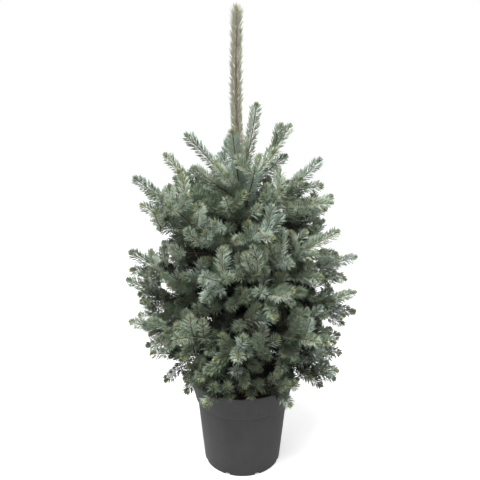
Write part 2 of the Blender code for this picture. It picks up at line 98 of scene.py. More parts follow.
def add(tree, kind, inputs=None, **settings):
    """Adds a node with its properties and its inputs."""
    made = tree.nodes.new(kind)
    for name, value in settings.items():
        setattr(made, name, value)
    feed(tree, made, inputs or {})
    return made


def new_material(name, **sockets):
    """A material with constant values in its shader's sockets."""
    material = bpy.data.materials.new(name)
    material.use_nodes = True
    values = {socket.replace("_", " "): value for socket, value in sockets.items()}
    feed(material.node_tree, material.node_tree.nodes[PRINCIPLED], values)
    return material


def new_object(name, data):
    """An object in the scene for a mesh, a lamp or a camera."""
    made = bpy.data.objects.new(name, data)
    bpy.context.scene.collection.objects.link(made)
    return made


# %% [markdown]
# ## Tools for Geometry Nodes
#
# A twig with its needles is one rule repeated many thousand times, which is what Geometry Nodes are for. A
# tree gets named inputs for its sizes, so that one tree serves the leader, the boughs and the smallest
# twigs with other values. The result is read back as a plain mesh, and the modifier goes away again.

# %% Tools for Geometry Nodes
def new_tree(name, sockets):
    """A geometry node tree with inputs (name, kind, value), the sockets that give them, and its last node."""
    tree = bpy.data.node_groups.new(name, "GeometryNodeTree")
    tree.interface.new_socket("Geometry", in_out="INPUT", socket_type="NodeSocketGeometry")
    tree.interface.new_socket("Geometry", in_out="OUTPUT", socket_type="NodeSocketGeometry")
    for label, kind, value in sockets:
        socket = tree.interface.new_socket(label, in_out="INPUT", socket_type=f"NodeSocket{kind}")
        if value is not None:
            socket.default_value = value
    return tree, tree.nodes.new("NodeGroupInput").outputs, tree.nodes.new("NodeGroupOutput")


def run_tree(tree, name, lines, values):
    """Runs a tree on a mesh and returns a new object with the result as a plain mesh."""
    holder = new_object(name, lines)
    modifier = holder.modifiers.new(tree.name, "NODES")
    modifier.node_group = tree
    for socket in tree.interface.items_tree:
        if socket.in_out == "INPUT" and socket.name in values:
            modifier[socket.identifier] = values[socket.name]
    graph = bpy.context.evaluated_depsgraph_get()
    mesh = bpy.data.meshes.new_from_object(holder.evaluated_get(graph), depsgraph=graph)
    holder.modifiers.remove(modifier)
    holder.data = mesh
    mesh.name = name
    return holder


def triangles(thing):
    return sum(len(face.vertices) - 2 for face in thing.data.polygons)


# %% [markdown]
# ## The trunk's line
#
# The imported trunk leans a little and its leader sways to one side. The same line is worked out again here,
# because bark, boughs and needles all hang on it. The trunk tapers from root flare to leader.

# %% The trunk's line
SOIL_LEVEL = 0.1860
TRUNK_TIP_HEIGHT = 0.9440
TOP_WHORL_HEIGHT = 0.600
TRUNK_FOOT_RADIUS = 0.0095
TRUNK_TIP_RADIUS = 0.0016
TRUNK_TAPER_POWER = 0.85
ROOT_FLARE = 0.0045
ROOT_FLARE_HEIGHT = 0.012
LOWER_LEAN = -0.0040
LEADER_SWAY = -0.0085
LEADER_SWAY_WAVE = 0.75
TRUNK_BOW = 0.0040


def share_up(height, low, high):
    """How far up a height lies between two others, from 0 to 1."""
    return min(1.0, max(0.0, (height - low) / (high - low)))


def trunk_point(height):
    lower = share_up(height, SOIL_LEVEL, TOP_WHORL_HEIGHT)
    leader = share_up(height, TOP_WHORL_HEIGHT, TRUNK_TIP_HEIGHT)
    lean = LOWER_LEAN * lower + LEADER_SWAY * math.sin(LEADER_SWAY_WAVE * math.pi * leader)
    bow = TRUNK_BOW * math.sin(math.pi * share_up(height, SOIL_LEVEL, TRUNK_TIP_HEIGHT))
    return np.array((lean, bow, height))


def trunk_points(heights):
    return np.array([trunk_point(height) for height in heights])


def trunk_radius(height):
    share = share_up(height, SOIL_LEVEL, TRUNK_TIP_HEIGHT)
    flare = ROOT_FLARE * math.exp(-(height - SOIL_LEVEL) / ROOT_FLARE_HEIGHT)
    return TRUNK_FOOT_RADIUS + (TRUNK_TIP_RADIUS - TRUNK_FOOT_RADIUS) * share**TRUNK_TAPER_POWER + flare


# %% [markdown]
# ## Shoots
#
# A spruce grows one length a year. At the end of each length it sets buds, and the next year's shoots leave
# that knot. So a bough is an arc with pairs of side shoots at even distances, shorter towards its tip. A
# shoot is kept as the points of its axis, which is all that twigs and needles need.

# %% Directions and arcs
AXIS_STEP = 0.008
UP = np.array((0.0, 0.0, 1.0))


def unit(vector):
    return vector / np.linalg.norm(vector)


def heading(bearing, rise):
    """The direction of a compass bearing and a rise above level, both in degrees."""
    level = math.cos(math.radians(rise))
    turn = math.radians(bearing)
    return np.array((level * math.cos(turn), level * math.sin(turn), math.sin(math.radians(rise))))


def arc(start, direction, toward, bend, length):
    """Points along an axis that leaves start on direction and turns towards another one by bend degrees."""
    steps = max(3, round(length / AXIS_STEP))
    across = unit(toward - direction * np.dot(toward, direction))
    points = [np.array(start)]
    for step in range(steps):
        turn = math.radians(bend) * (step + 0.5) / steps
        points.append(points[-1] + (direction * math.cos(turn) + across * math.sin(turn)) * length / steps)
    return np.array(points)


# %% Shoots as axes
class Shoot:
    """A shoot's axis, the number of its mass, its order, and the level direction across it. Its own measures
    are the number of its needles' colour, whether its end is tender, how full it is, the length behind its
    tip on which the needles are fresh and pale, beyond which they are painted darker for age and for shade,
    and how narrow it is."""

    def __init__(self, points, mass, order, side):
        self.points, self.mass, self.order, self.side = points, mass, order, side
        self.dealt, self.tender, self.full, self.fresh, self.narrow = 0, 0.0, 1.0, 1.0, 1.0
        self.measure()

    def measure(self):
        steps = np.linalg.norm(np.diff(self.points, axis=0), axis=1)
        self.along = np.concatenate([[0.0], np.cumsum(steps)])
        self.length = float(self.along[-1])

    def lengthen(self, growth):
        """Moves the tip straight on by growth."""
        self.points[-1] += self.tangent(self.length) * growth
        self.measure()

    def at(self, distance):
        distance = min(max(distance, 0.0), self.length)
        return np.array([np.interp(distance, self.along, self.points[:, axis]) for axis in range(3)])

    def tangent(self, distance):
        reach = AXIS_STEP / 2
        return unit(self.at(min(distance + reach, self.length)) - self.at(max(distance - reach, 0.0)))

    def top(self, distance):
        """The upper side of the shoot."""
        up = unit(np.cross(self.side, self.tangent(distance)))
        return -up if up[2] < 0 else up


# %% [markdown]
# ## Whorls of boughs
#
# Boughs leave the trunk in whorls, a year's growth apart. The table gives each bough's place and line, and
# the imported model's masses follow the same rows. The two lowest whorls show a bare limb before their
# needles begin.

# %% The table of boughs
# A whorl's name, height, bare share and years of side shoots, and its boughs. A bough is the height of its
# foot above the whorl, its bearing, its rise, how many degrees it bends up, and its length.
WHORLS = (
    ("crown", TOP_WHORL_HEIGHT, 0.0, 0, (
        (0.000, 188, 51, -4, 0.156),
        (0.000, 8, 53, 2, 0.162),
        (0.006, 256, 62, 4, 0.134),
        (0.010, 52, 68, 8, 0.168),
        (-0.012, 213, 33, 6, 0.124),
        (-0.006, 122, 42, 4, 0.108),
    )),
    ("collar", 0.530, 0.0, 1, (
        (-0.006, 253, 36, 12, 0.122),
        (0.006, 290, 56, 6, 0.146),
    )),
    ("shoulder", 0.500, 0.0, 2, (
        (0.006, 357, 45, 4, 0.222),
        (0.006, 168, 46, 3, 0.226),
        (-0.006, 196, 24, 4, 0.216),
        (0.002, 281, 18, 10, 0.165),
        (-0.008, 26, 19, 4, 0.230),
        (0.000, 98, 34, 8, 0.185),
    )),
    ("upper", 0.410, 0.0, 3, (
        (0.014, 213, 53, -14, 0.318),
        (-0.006, 4, 13, 2, 0.242),
        (0.008, 342, 30, 4, 0.226),
        (-0.006, 292, 12, 6, 0.210),
        (0.004, 251, 18, 8, 0.214),
        (-0.004, 160, 20, 6, 0.190),
        (0.010, 128, 26, 8, 0.225),
        (0.000, 66, 22, 8, 0.235),
    )),
    ("middle", 0.320, 0.30, 3, (
        (0.010, 186, 34, 2, 0.270),
        (-0.008, 170, 15, 10, 0.262),
        (0.006, 358, 12, 8, 0.240),
        (-0.003, 311, 7, 8, 0.215),
        (0.009, 268, 3, 6, 0.214),
        (-0.002, 234, 9, 8, 0.208),
        (0.004, 118, 14, 10, 0.230),
        (-0.006, 42, 16, 10, 0.238),
    )),
    ("skirt", 0.243, 0.30, 3, (
        (0.006, 356, 11, 6, 0.206),
        (-0.008, 335, 4, 4, 0.206),
        (0.002, 302, -6, -6, 0.172),
        (-0.010, 249, -1, 6, 0.188),
        (0.000, 206, 13, 4, 0.203),
        (0.012, 184, 17, 2, 0.242),
        (-0.004, 150, 4, 8, 0.205),
        (0.004, 90, 2, 10, 0.205),
        (-0.006, 32, 6, 10, 0.210),
    )),
)
# A fork is its place along the stem, its bearing, its rise and its length.
FORKS = {
    "crown_2": ((0.030, 24, 27, 0.088), (0.112, 10, 78, 0.044)),
}


# %% Boughs
SEAT_GAP = 0.0003
SAME_PLACE = AXIS_STEP / 3


class Bough:
    """A bough: its name, its whole axis, its bare limb or None, its years of side shoots, and its stem."""

    def __init__(self, name, number, foot, bearing, rise, bend, length, bare_share, years):
        side = heading(bearing + 90, 0)
        self.name, self.years = name, years
        self.axis = Shoot(arc(foot, heading(bearing, rise), UP, bend, length), number, 0, side)
        bare = bare_share * length
        path, along = self.axis.points, self.axis.along
        self.limb = np.vstack([path[along < bare - SAME_PLACE], self.axis.at(bare)]) if bare else None
        start = self.axis.at(bare + SEAT_GAP)
        stem = np.vstack([start, path[along > bare + SAME_PLACE]]) if bare else path
        self.stem = Shoot(stem, number, 0, side)


boughs = []
for whorl, height, bare_share, years, rows in WHORLS:
    for row, (offset, bearing, rise, bend, length) in enumerate(rows, start=1):
        name, foot = f"{whorl}_{row}", trunk_point(height + offset)
        boughs.append(Bough(name, len(boughs), foot, bearing, rise, bend, length, bare_share, years))
print("boughs:", len(boughs))

# %% [markdown]
# ## Growing the side shoots
#
# A new shoot is cut back where it would come too near to the trunk, a limb, the pot or another shoot, and
# it is left out if little of it stays. That keeps the crown's gaps, and it is how light pruning works on a
# real tree: a shoot in shade stops early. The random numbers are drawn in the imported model's order, so that
# both grow the same shoots.

# %% Room for a shoot
POT_HEIGHT = 0.2058
RIM_RADIUS = 0.1138
ROOM_TO_OTHER_MASS = 0.019
ROOM_IN_MASS = 0.014
ROOM_TO_LIMB = 0.016
ROOM_TO_TRUNK = 0.020
ROOM_TO_POT = 0.014
TRUNK_LINE_STEP = 0.01
POINTS_AT_FOOT = 2
trunk_line = trunk_points(np.arange(SOIL_LEVEL, TRUNK_TIP_HEIGHT, TRUNK_LINE_STEP))
shoots = [bough.stem for bough in boughs]


def distances(points, starts, ends):
    """The distance from each point to each straight piece of axis."""
    along = ends - starts
    away = points[:, None, :] - starts[None]
    share = np.clip((away * along[None]).sum(2) / (along * along).sum(1)[None], 0.0, 1.0)
    return np.linalg.norm(away - share[..., None] * along[None], axis=2)


def free_points(points, mass, parent, closeness):
    """How many of the leading points have room round them. Those at the foot lie in the parent and pass."""
    lines = [(trunk_line, ROOM_TO_TRUNK)]
    lines += [(bough.limb, ROOM_TO_LIMB) for bough in boughs if bough.limb is not None]
    for shoot in shoots:
        if shoot is not parent:
            lines.append((shoot.points, ROOM_IN_MASS if shoot.mass == mass else ROOM_TO_OTHER_MASS))
    starts = np.concatenate([line[:-1] for line, room in lines])
    ends = np.concatenate([line[1:] for line, room in lines])
    rooms = np.concatenate([np.full(len(line) - 1, room) for line, room in lines]) * closeness
    crowded = (distances(points, starts, ends) < rooms[None]).any(1)
    over_pot = np.hypot(points[:, 0], points[:, 1]) < RIM_RADIUS + ROOM_TO_POT
    crowded |= over_pot & (points[:, 2] < POT_HEIGHT + ROOM_TO_POT)
    crowded[:POINTS_AT_FOOT] = False
    return int(np.argmax(crowded)) if crowded.any() else len(points)


# %% How a shoot grows from its parent
SHORTEST_SHOOT = 0.042
FORWARD_BEND = 10.0
UPWARD_BEND = 34.0


def grow(parent, distance, direction, length, toward=None, shortest=SHORTEST_SHOOT, closeness=1.0):
    """Grows a shoot from its parent, cut back to where it has room, and skips it if little is left."""
    toward, bend = (parent.tangent(distance), FORWARD_BEND) if toward is None else (toward, UPWARD_BEND)
    points = arc(parent.at(distance), direction, toward, bend, length)
    points = points[: free_points(points, parent.mass, parent, closeness)]
    if np.linalg.norm(np.diff(points, axis=0), axis=1).sum() < shortest:
        return
    side = unit(np.cross(parent.top(distance), direction))
    shoots.append(Shoot(points, parent.mass, parent.order + 1, side))


for bough in boughs:
    for distance, bearing, rise, length in FORKS.get(bough.name, ()):
        grow(bough.stem, distance, heading(bearing, rise), length)
print("boughs and their forks:", len(shoots))

# %% Growing the side shoots
KNOT_SPACING = 0.078
KNOT_JITTER = 0.004
MOST_YEARS = 4
SIDE_ANGLE = 47.0
SIDE_ANGLE_PER_YEAR = 4.0
SIDE_ANGLE_JITTER = 5.0
SIDE_TILTS = (-8.0, 16.0)
SIDE_SHARES = (0.58, 0.72, 0.78)
SIDE_LENGTHS = (0.88, 1.10)
LONGEST_SIDE_SHOOT = 0.105
UPPER_SHOOT = 0.062
LOWER_SHOOT = 0.055
UPRIGHT_GAIN_PER_YEAR = 0.2
UPRIGHT_SWAY = 0.35
GROWTH_SEED = 15
random = np.random.default_rng(GROWTH_SEED)


def grow_side_pair(stem, year, distance):
    """A pair of side shoots at a knot."""
    share = SIDE_SHARES[min(year, len(SIDE_SHARES) - 1)]
    for hand in (1, -1):
        jitter = random.uniform(-SIDE_ANGLE_JITTER, SIDE_ANGLE_JITTER)
        angle = math.radians(SIDE_ANGLE + SIDE_ANGLE_PER_YEAR * year + jitter)
        tilt = math.radians(random.uniform(*SIDE_TILTS))
        length = share * (stem.length - distance) * random.uniform(*SIDE_LENGTHS)
        direction = stem.tangent(distance) * math.cos(angle) + stem.side * hand * math.sin(angle)
        direction = unit(unit(direction) + stem.top(distance) * math.sin(tilt))
        grow(stem, distance, direction, min(length, LONGEST_SIDE_SHOOT))


def grow_uprights(stem, year, distance):
    """A shoot above the stem and one below it, which fill the crown between two whorls."""
    for hand, length in ((1, UPPER_SHOOT), (-1, LOWER_SHOOT)):
        sway = random.uniform(-UPRIGHT_SWAY, UPRIGHT_SWAY)
        if hand == 1 and year == 0 and boughs[stem.mass].limb is None:
            continue
        direction = unit(stem.tangent(distance) + stem.top(distance) * hand + stem.side * sway)
        grow(stem, distance, direction, length * (1 + UPRIGHT_GAIN_PER_YEAR * year))


for grow_pair in (grow_side_pair, grow_uprights):
    for year in range(MOST_YEARS):
        for bough in boughs:
            jitter = random.uniform(-KNOT_JITTER, KNOT_JITTER)
            distance = bough.stem.length - KNOT_SPACING * (year + 1) + jitter
            if year < bough.years and distance > -KNOT_SPACING / 2:
                grow_pair(bough.stem, year, max(distance, AXIS_STEP))
print("shoots that the packed model has too:", len(shoots))

# %% [markdown]
# ## The crown's outline
#
# The shoots so far draw the outline that the tree is known by, and whatever is added now stays inside it.
# Between two tips the outline sags, most of all near the top, where the sky comes in between the shoots. A
# point's depth is how far inside the outline it lies on the way to the crown's heart, in metres or as a
# share of that way.

# %% Depth in the crown
HEART = np.array((0.0, 0.0, 0.39))
CONE = math.cos(math.radians(25))
SAGS = (1.1, 3.2)
SAG_RISES = (-0.10, 0.55)
LEAST_REACH = 0.01
outline = np.concatenate([shoot.points for shoot in shoots]) - HEART
outline_reach = np.linalg.norm(outline, axis=1)


def reach_towards(direction):
    """How far the crown reaches from its heart in a direction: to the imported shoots, with sags between."""
    facing = outline @ direction / outline_reach
    sag = np.interp(direction[2], SAG_RISES, SAGS)
    reach = outline_reach - sag * (1 - facing)
    return float(reach[facing > CONE].max(initial=LEAST_REACH))


def depth(point):
    """How far inside the crown's outline a point lies, in metres."""
    away = point - HEART
    return reach_towards(unit(away)) - float(np.linalg.norm(away))


def depth_share(point):
    """The same as a share of the way from the outline to the heart."""
    away = point - HEART
    return 1 - float(np.linalg.norm(away)) / reach_towards(unit(away))


# %% [markdown]
# ## Shoots that seek light
#
# The imported model stops at side shoots. The living tree goes on: where light falls on the crown and no tip
# is near, the nearest wood sends a shoot there. A few forks on the flanks come first and are listed one by
# one, because they shape the outline.

# %% Late forks
LATE_FORKS = (
    ("shoulder_1", 0.115, 352, -6, 0.095),
    ("upper_3", 0.120, 2, 0, 0.086),
    ("upper_2", 0.130, 357, -18, 0.078),
    ("middle_1", 0.112, 184, 2, 0.062),
    ("middle_2", 0.075, 182, -4, 0.068),
    ("middle_2", 0.026, 182, 48, 0.085),
    ("middle_1", 0.045, 184, 50, 0.080),
    ("middle_3", 0.100, 0, -22, 0.068),
    ("middle_3", 0.080, 4, -38, 0.076),
    ("skirt_1", 0.080, 8, -27, 0.075),
    ("skirt_2", 0.090, 0, -28, 0.052),
    ("skirt_6", 0.070, 180, -26, 0.066),
    ("skirt_5", 0.060, 184, -50, 0.072),
    ("skirt_5", 0.030, 243, -43, 0.078),
)
LATE_CLOSENESS = 0.5
for name, distance, bearing, rise, length in LATE_FORKS:
    stem = next(bough.stem for bough in boughs if bough.name == name)
    grow(stem, distance, heading(bearing, rise), length, closeness=LATE_CLOSENESS)
print("shoots with the late forks:", len(shoots))

# %% [markdown]
# Six windows of sky near the outline are kept open. Each is a circle in a plane upright to the front, and a
# point behind or before that plane is moved into it along the line of sight, which looks a little down.

# %% Windows of sky
SIGHT_SLOPE = 0.28
SKY_WINDOWS = (
    (-0.172, 0.520, 0.034),
    (-0.195, 0.545, 0.030),
    (-0.107, 0.677, 0.026),
    (0.038, 0.714, 0.030),
    (0.105, 0.655, 0.034),
    (0.208, 0.424, 0.020),
)


def in_window(point):
    """Whether the sky shows through the crown at a point."""
    x, z = point[0], point[2] + SIGHT_SLOPE * point[1]
    return any(math.hypot(x - window_x, z - window_z) < radius for window_x, window_z, radius in SKY_WINDOWS)


# %% [markdown]
# Points are spread evenly over the crown's surface, a golden angle apart, and over a second shell inside
# it. Each one that is still free pulls a shoot from the nearest wood that points that way, which bends up
# to the light. The trunk sprouts too, where its whorls have no bare limbs. The crown's top is a year old,
# so its points lie deeper and leave it open.

# %% Wood that can sprout
SPROUTING_TRUNK = 0.05
REACHES = (0.034, 0.155)
MOST_TURN = math.cos(math.radians(84))
MOST_SLANT = math.cos(math.radians(50))
LIGHT_ROOM = 0.021
LIGHT_CLOSENESS = 0.60
LIGHT_LIFT = 0.45
trunk_wood = []
for number, bough in enumerate(boughs):
    foot = float(bough.axis.points[0][2])
    if bough.years > 0 and bough.limb is None:
        line = trunk_points(np.arange(foot, foot + SPROUTING_TRUNK, AXIS_STEP))
        trunk_wood.append(Shoot(line, number, 1, heading(0, 0)))


def seek_light(target, outward):
    """Grows a shoot out to a point of the crown's surface, if it is free, from the nearest wood that can."""
    if min(np.linalg.norm(target - shoot.points, axis=1).min() for shoot in shoots) < LIGHT_ROOM:
        return
    able = [shoot for shoot in shoots if shoot.order < 2 and boughs[shoot.mass].years > 0]
    able += trunk_wood
    owners = np.repeat(np.arange(len(able)), [len(shoot.points) for shoot in able])
    forward = np.concatenate([np.gradient(shoot.points, axis=0) for shoot in able])
    away = target - np.concatenate([shoot.points for shoot in able])
    length = np.linalg.norm(away, axis=1)
    lit = unit(outward + UP * LIGHT_LIFT)
    fit = (length > REACHES[0]) & (length < REACHES[1]) & (away @ lit > MOST_SLANT * length)
    fit &= (forward * away).sum(1) > MOST_TURN * length * np.linalg.norm(forward, axis=1)
    if fit.any():
        chosen = np.flatnonzero(fit)[np.argmin(length[fit])]
        parent = able[owners[chosen]]
        step = chosen - np.flatnonzero(owners == owners[chosen])[0]
        reach = length[chosen]
        direction = unit(away[chosen] / reach - UP * math.sin(math.radians(UPWARD_BEND / 2)))
        grow(parent, parent.along[step], direction, reach, UP, REACHES[0], LIGHT_CLOSENESS)


# %% Points that catch light
LIGHT_POINTS = 1200
LIGHT_SHELLS = (0.0, 0.028)
GOLDEN_DEGREES = 137.508
LIGHT_MARGINS = (0.016, 0.018, 0.034)
LIGHT_MARGIN_HEIGHTS = (0.26, 0.44, 0.60)
LOWEST_LIGHT = 0.215
TARGET_CLOSENESS = 0.5


def is_free(point):
    """Whether a point has room. It is asked as the last of a few, since a shoot's first ones always pass."""
    points = np.array([point] * (POINTS_AT_FOOT + 1))
    return free_points(points, -1, None, TARGET_CLOSENESS) == len(points)


for shell in LIGHT_SHELLS:
    for number in range(LIGHT_POINTS):
        rise = math.degrees(math.asin(1 - 2 * (number + 0.5) / LIGHT_POINTS))
        direction = heading(GOLDEN_DEGREES * number, rise)
        surface = HEART + direction * reach_towards(direction)
        margin = float(np.interp(surface[2], LIGHT_MARGIN_HEIGHTS, LIGHT_MARGINS))
        target = surface - direction * (margin + shell)
        if target[2] > LOWEST_LIGHT and not in_window(target) and is_free(target):
            seek_light(target, direction)
    print("shoots with those that seek light:", len(shoots))

# %% [markdown]
# ## Spurs in the shade
#
# Inside the crown, short spurs fill the stems between two knots, and thin twigs leave the trunk between two
# whorls in a spiral. They live on in the shade and close the crown's heart.

# %% Spurs
SPUR_SEED = 4
SPUR_LENGTH = 0.060
SPUR_YEARS = (1.5, 2.0, 2.5, 3.0, 3.5)
SPUR_ANGLE = 50.0
SPUR_TILTS = (0.0, 180.0, 55.0, 125.0, -50.0, -130.0)
SPUR_MARGIN = 0.030
SPUR_CLOSENESS = 0.80
SHORTEST_TWIG = 0.026
random = np.random.default_rng(SPUR_SEED)


def grow_spur(shoot, distance, tilt):
    """A spur that leaves a stem on a side that is turned round it by tilt degrees."""
    angle = math.radians(SPUR_ANGLE + random.uniform(-SIDE_ANGLE_JITTER, SIDE_ANGLE_JITTER))
    tilt = math.radians(tilt + random.uniform(*SIDE_TILTS))
    outward = shoot.side * math.cos(tilt) + shoot.top(distance) * math.sin(tilt)
    direction = unit(shoot.tangent(distance) * math.cos(angle) + outward * math.sin(angle))
    tip = shoot.at(distance) + direction * SPUR_LENGTH
    if depth(tip) > SPUR_MARGIN and not in_window(tip):
        grow(shoot, distance, direction, SPUR_LENGTH, shortest=SHORTEST_TWIG, closeness=SPUR_CLOSENESS)


for year in SPUR_YEARS:
    for bough in boughs:
        distance = bough.stem.length - KNOT_SPACING * year
        for tilt in SPUR_TILTS:
            if distance > AXIS_STEP:
                grow_spur(bough.stem, distance, tilt)
print("shoots with the spurs:", len(shoots))

# %% Inner twigs
INNER_HEIGHTS = (0.250, 0.590)
INNER_STEP = 0.0020
INNER_LENGTH = 0.140
INNER_RISE = 20.0
INNER_CLOSENESS = 0.30
INNER_MARGIN = 0.035
TIP_GROWTH = 4 * MM


def nearest_bough(point):
    """The number of the bough whose middle is nearest to a point."""
    away = [np.linalg.norm(bough.axis.at(bough.axis.length / 2) - point) for bough in boughs]
    return int(np.argmin(away))


for number, height in enumerate(np.arange(*INNER_HEIGHTS, INNER_STEP)):
    bearing = GOLDEN_DEGREES * number
    points = arc(trunk_point(height), heading(bearing, INNER_RISE), UP, FORWARD_BEND, INNER_LENGTH)
    points = points[: free_points(points, -1, None, INNER_CLOSENESS)]
    while len(points) > 2 and (depth(points[-1]) < INNER_MARGIN or in_window(points[-1])):
        points = points[:-1]
    if np.linalg.norm(points[-1] - points[0]) > SHORTEST_TWIG:
        shoots.append(Shoot(points, nearest_bough(points[-1]), 2, heading(bearing + 90, 0)))
for shoot in shoots:
    shoot.lengthen(TIP_GROWTH)
print("shoots with spurs and inner twigs:", len(shoots))
print("metres of twig:", round(sum(shoot.length for shoot in shoots), 1))

# %% [markdown]
# ## Lines that carry measures
#
# Geometry Nodes read a shoot from a mesh of edges. Each point also carries what the rules need to know
# there: how thick the wood is, how far the tip and the foot are, which way lies across, and the shoot's own
# measures. The last centimetre of a shoot is laid a second time as its tuft, where more needles lean in
# over the bud.

# %% Lines that carry measures
STEM_GIRTH = (0.0024, 0.0010)
SIDE_GIRTH = (0.0013, 0.0008)
TWIG_GIRTH = (0.0010, 0.0007)
PLACE_MEASURES = ("girth", "to_tip", "from_foot")
OWN_MEASURES = ("dealt", "tender", "full", "fresh", "narrow")
TUFT_REACH = 10 * MM
TUFT_STEPS = (1, 2 / 3, 1 / 3, 0)
TUFT_LEAN = 0.60
TUFT_FULLNESS = 0.45


def store(mesh, label, values):
    """Stores a number or a vector for each point of a mesh under a name."""
    values = np.asarray(values, np.float32)
    kind, part = ("FLOAT", "value") if values.ndim == 1 else ("FLOAT_VECTOR", "vector")
    mesh.attributes.new(label, kind, "POINT").data.foreach_set(part, values.ravel())


def line_mesh(name, rows):
    """Edges along axes. A row is a shoot and then, for each of its points, the place measures."""
    points, edges = [], []
    values = {label: [] for label in (*PLACE_MEASURES, *OWN_MEASURES, "across")}
    for shoot, *places in rows:
        start = sum(map(len, points))
        count = len(shoot.points)
        points.append(shoot.points)
        edges += [(start + step, start + step + 1) for step in range(count - 1)]
        for label, place in zip(PLACE_MEASURES, places):
            values[label].append(place)
        for label in OWN_MEASURES:
            values[label].append(np.full(count, getattr(shoot, label)))
        values["across"].append(np.tile(shoot.side, (count, 1)))
    mesh = bpy.data.meshes.new(name)
    mesh.from_pydata(np.concatenate(points).tolist(), edges, [])
    for label, parts in values.items():
        store(mesh, label, np.concatenate(parts))
    return mesh


def row_of(shoot, radii):
    return shoot, radii, shoot.length - shoot.along, shoot.along


def shoot_row(shoot):
    """A shoot's row, with the wood's radii for its order."""
    thick, thin = (STEM_GIRTH, SIDE_GIRTH, TWIG_GIRTH)[min(shoot.order, 2)]
    left = (shoot.length - shoot.along) / max(shoot.length, KNOT_SPACING)
    return row_of(shoot, thin + (thick - thin) * left)


def tuft_row(shoot):
    """The last stretch of a shoot once more, for the needles that lean in over its bud."""
    tuft = copy.copy(shoot)
    tuft.points = np.array([shoot.at(shoot.length - TUFT_REACH * left) for left in TUFT_STEPS])
    tuft.narrow, tuft.full = TUFT_LEAN, TUFT_FULLNESS
    tuft.measure()
    radii = np.full(len(TUFT_STEPS), TWIG_GIRTH[1])
    return tuft, radii, tuft.length - tuft.along, shoot.length - tuft.length + tuft.along


# %% [markdown]
# ## Light and shade in the crown
#
# Needles in full light stand thickest and carry the most wax. Deep in the crown and low on the tree they
# are thinner set and dark green, and fewer of them behind a tip are fresh. That dark green is partly real,
# since needles in shade carry less wax, and partly painted shade: the colours darken with depth and towards
# the bottom, and silver grows towards the top as painted light from above. So a shoot's measures follow
# from its depth and its height, and chance deals out the pale colours near the outline.

# %% Colours by depth
COLOUR_SEED = 9
SILVER, GREY, BLUE, SHADED, OLD_AND_DEEP_SHADE, YOUNG, BEIGE = range(7)
JUDGED_AT = 0.6
# The deeper and the lower a shoot, the darker its colours, and the higher, the more silver: painted shade
# below and inside and painted light from above, besides the real loss of wax in shade.
DEEP_HEIGHTS, DEEP_SHARES = (0.40, 0.49), (0.28, 0.44)
SILVER_HEIGHTS, SILVER_SHARES = (0.27, 0.56), (0.08, 0.45)
SHADED_HEIGHTS, SHADED_SHARES = (0.27, 0.34, 0.44, 0.56), (0.80, 0.55, 0.25, 0.05)
# The pale stretch behind a tip is shorter low on the tree: age, and painted shade that falls low in the
# crown.
FRESH_AND_LIT_HEIGHTS, FRESH_AND_LIT_LENGTHS = (0.26, 0.44, 0.56), (0.022, 0.070, 0.130)
GREY_SHARE = 0.6
BLUE_SHARE = 0.4
STEM_SHADE = 0.5
HALF_DEEP = 0.65
TENDER_SHARE = 0.60
TWIG_FULLNESS = 0.9
THIN_SET = 0.80
colours = np.random.default_rng(COLOUR_SEED)

for shoot in shoots:
    middle = shoot.at(JUDGED_AT * shoot.length)
    height = middle[2]
    deep = depth_share(middle) / np.interp(height, DEEP_HEIGHTS, DEEP_SHARES)
    silver = np.interp(height, SILVER_HEIGHTS, SILVER_SHARES)
    shares = (silver, GREY_SHARE - GREY_SHARE * silver, BLUE_SHARE - BLUE_SHARE * silver)
    shoot.dealt = colours.choice((SILVER, GREY, BLUE), p=shares)
    shaded = np.interp(height, SHADED_HEIGHTS, SHADED_SHARES) * (1.0 if shoot.order else STEM_SHADE)
    shoot.fresh = np.interp(height, FRESH_AND_LIT_HEIGHTS, FRESH_AND_LIT_LENGTHS)
    # Shaded green low on the tree and deep inside is partly painted shade.
    if colours.random() < shaded or (deep > HALF_DEEP and shoot.order > 0):
        shoot.dealt = SHADED
    shoot.tender = float(colours.random() < TENDER_SHARE and deep < HALF_DEEP)
    shoot.full = 1.0 if shoot.order < 2 else TWIG_FULLNESS
    # The deepest shoots get the near-black old green: painted shade deep in the crown.
    if deep > 1 and shoot.order > 0:
        shoot.dealt, shoot.full = OLD_AND_DEEP_SHADE, THIN_SET
print("shoots in full light:", sum(shoot.dealt < SHADED for shoot in shoots))

# %% [markdown]
# ## The needles' colours
#
# Blue spruce needles are green under a bloom of pale wax, so they look silver to blue-grey and quite matt.
# Old needles lose the wax and turn dark green, and the few round a bud are yellow-green. The shaded green is
# partly painted shade, and the near-black of the old green is painted shade deep in the crown and behind the
# tips. Each is a plain base colour that a rule deals out to whole sprays or whole needles. Wax scatters light
# at grazing angles, which is what sheen does.

# %% Needle materials
NEEDLE_COLOURS = (
    ("needle wax silver", "AFBBA9"),
    ("needle wax grey green", "A8B59F"),
    ("needle wax blue", "A0B0A3"),
    # The shaded green is partly painted shade, and the near-black old green is painted deep shade as well as
    # old needles.
    ("needle shaded green", "6F7F68"),
    ("needle old green", "222C1F"),
    ("needle bud yellow green", "8F9870"),
    ("needle leader beige", "AFAF9B"),
)
WAX = {"Roughness": 0.55, "Sheen_Weight": 0.15, "Sheen_Roughness": 0.4}
needle_materials = [new_material(name, Base_Color=linear(colour), **WAX) for name, colour in NEEDLE_COLOURS]
print("needle colours:", len(needle_materials))

# %% [markdown]
# ## One needle
#
# A spruce needle is stiff, three or four sided and slightly curved, with a sharp point. It is modelled one
# unit long and is stretched to its real length where it is used. There will be about 160,000, so four faces
# have to do: they join a foot, a point and two shoulders into a keeled blade, and its shoulders are wider
# than in life, because there are fewer needles. The foot closes in a point inside the wood, so the mesh
# stays watertight.

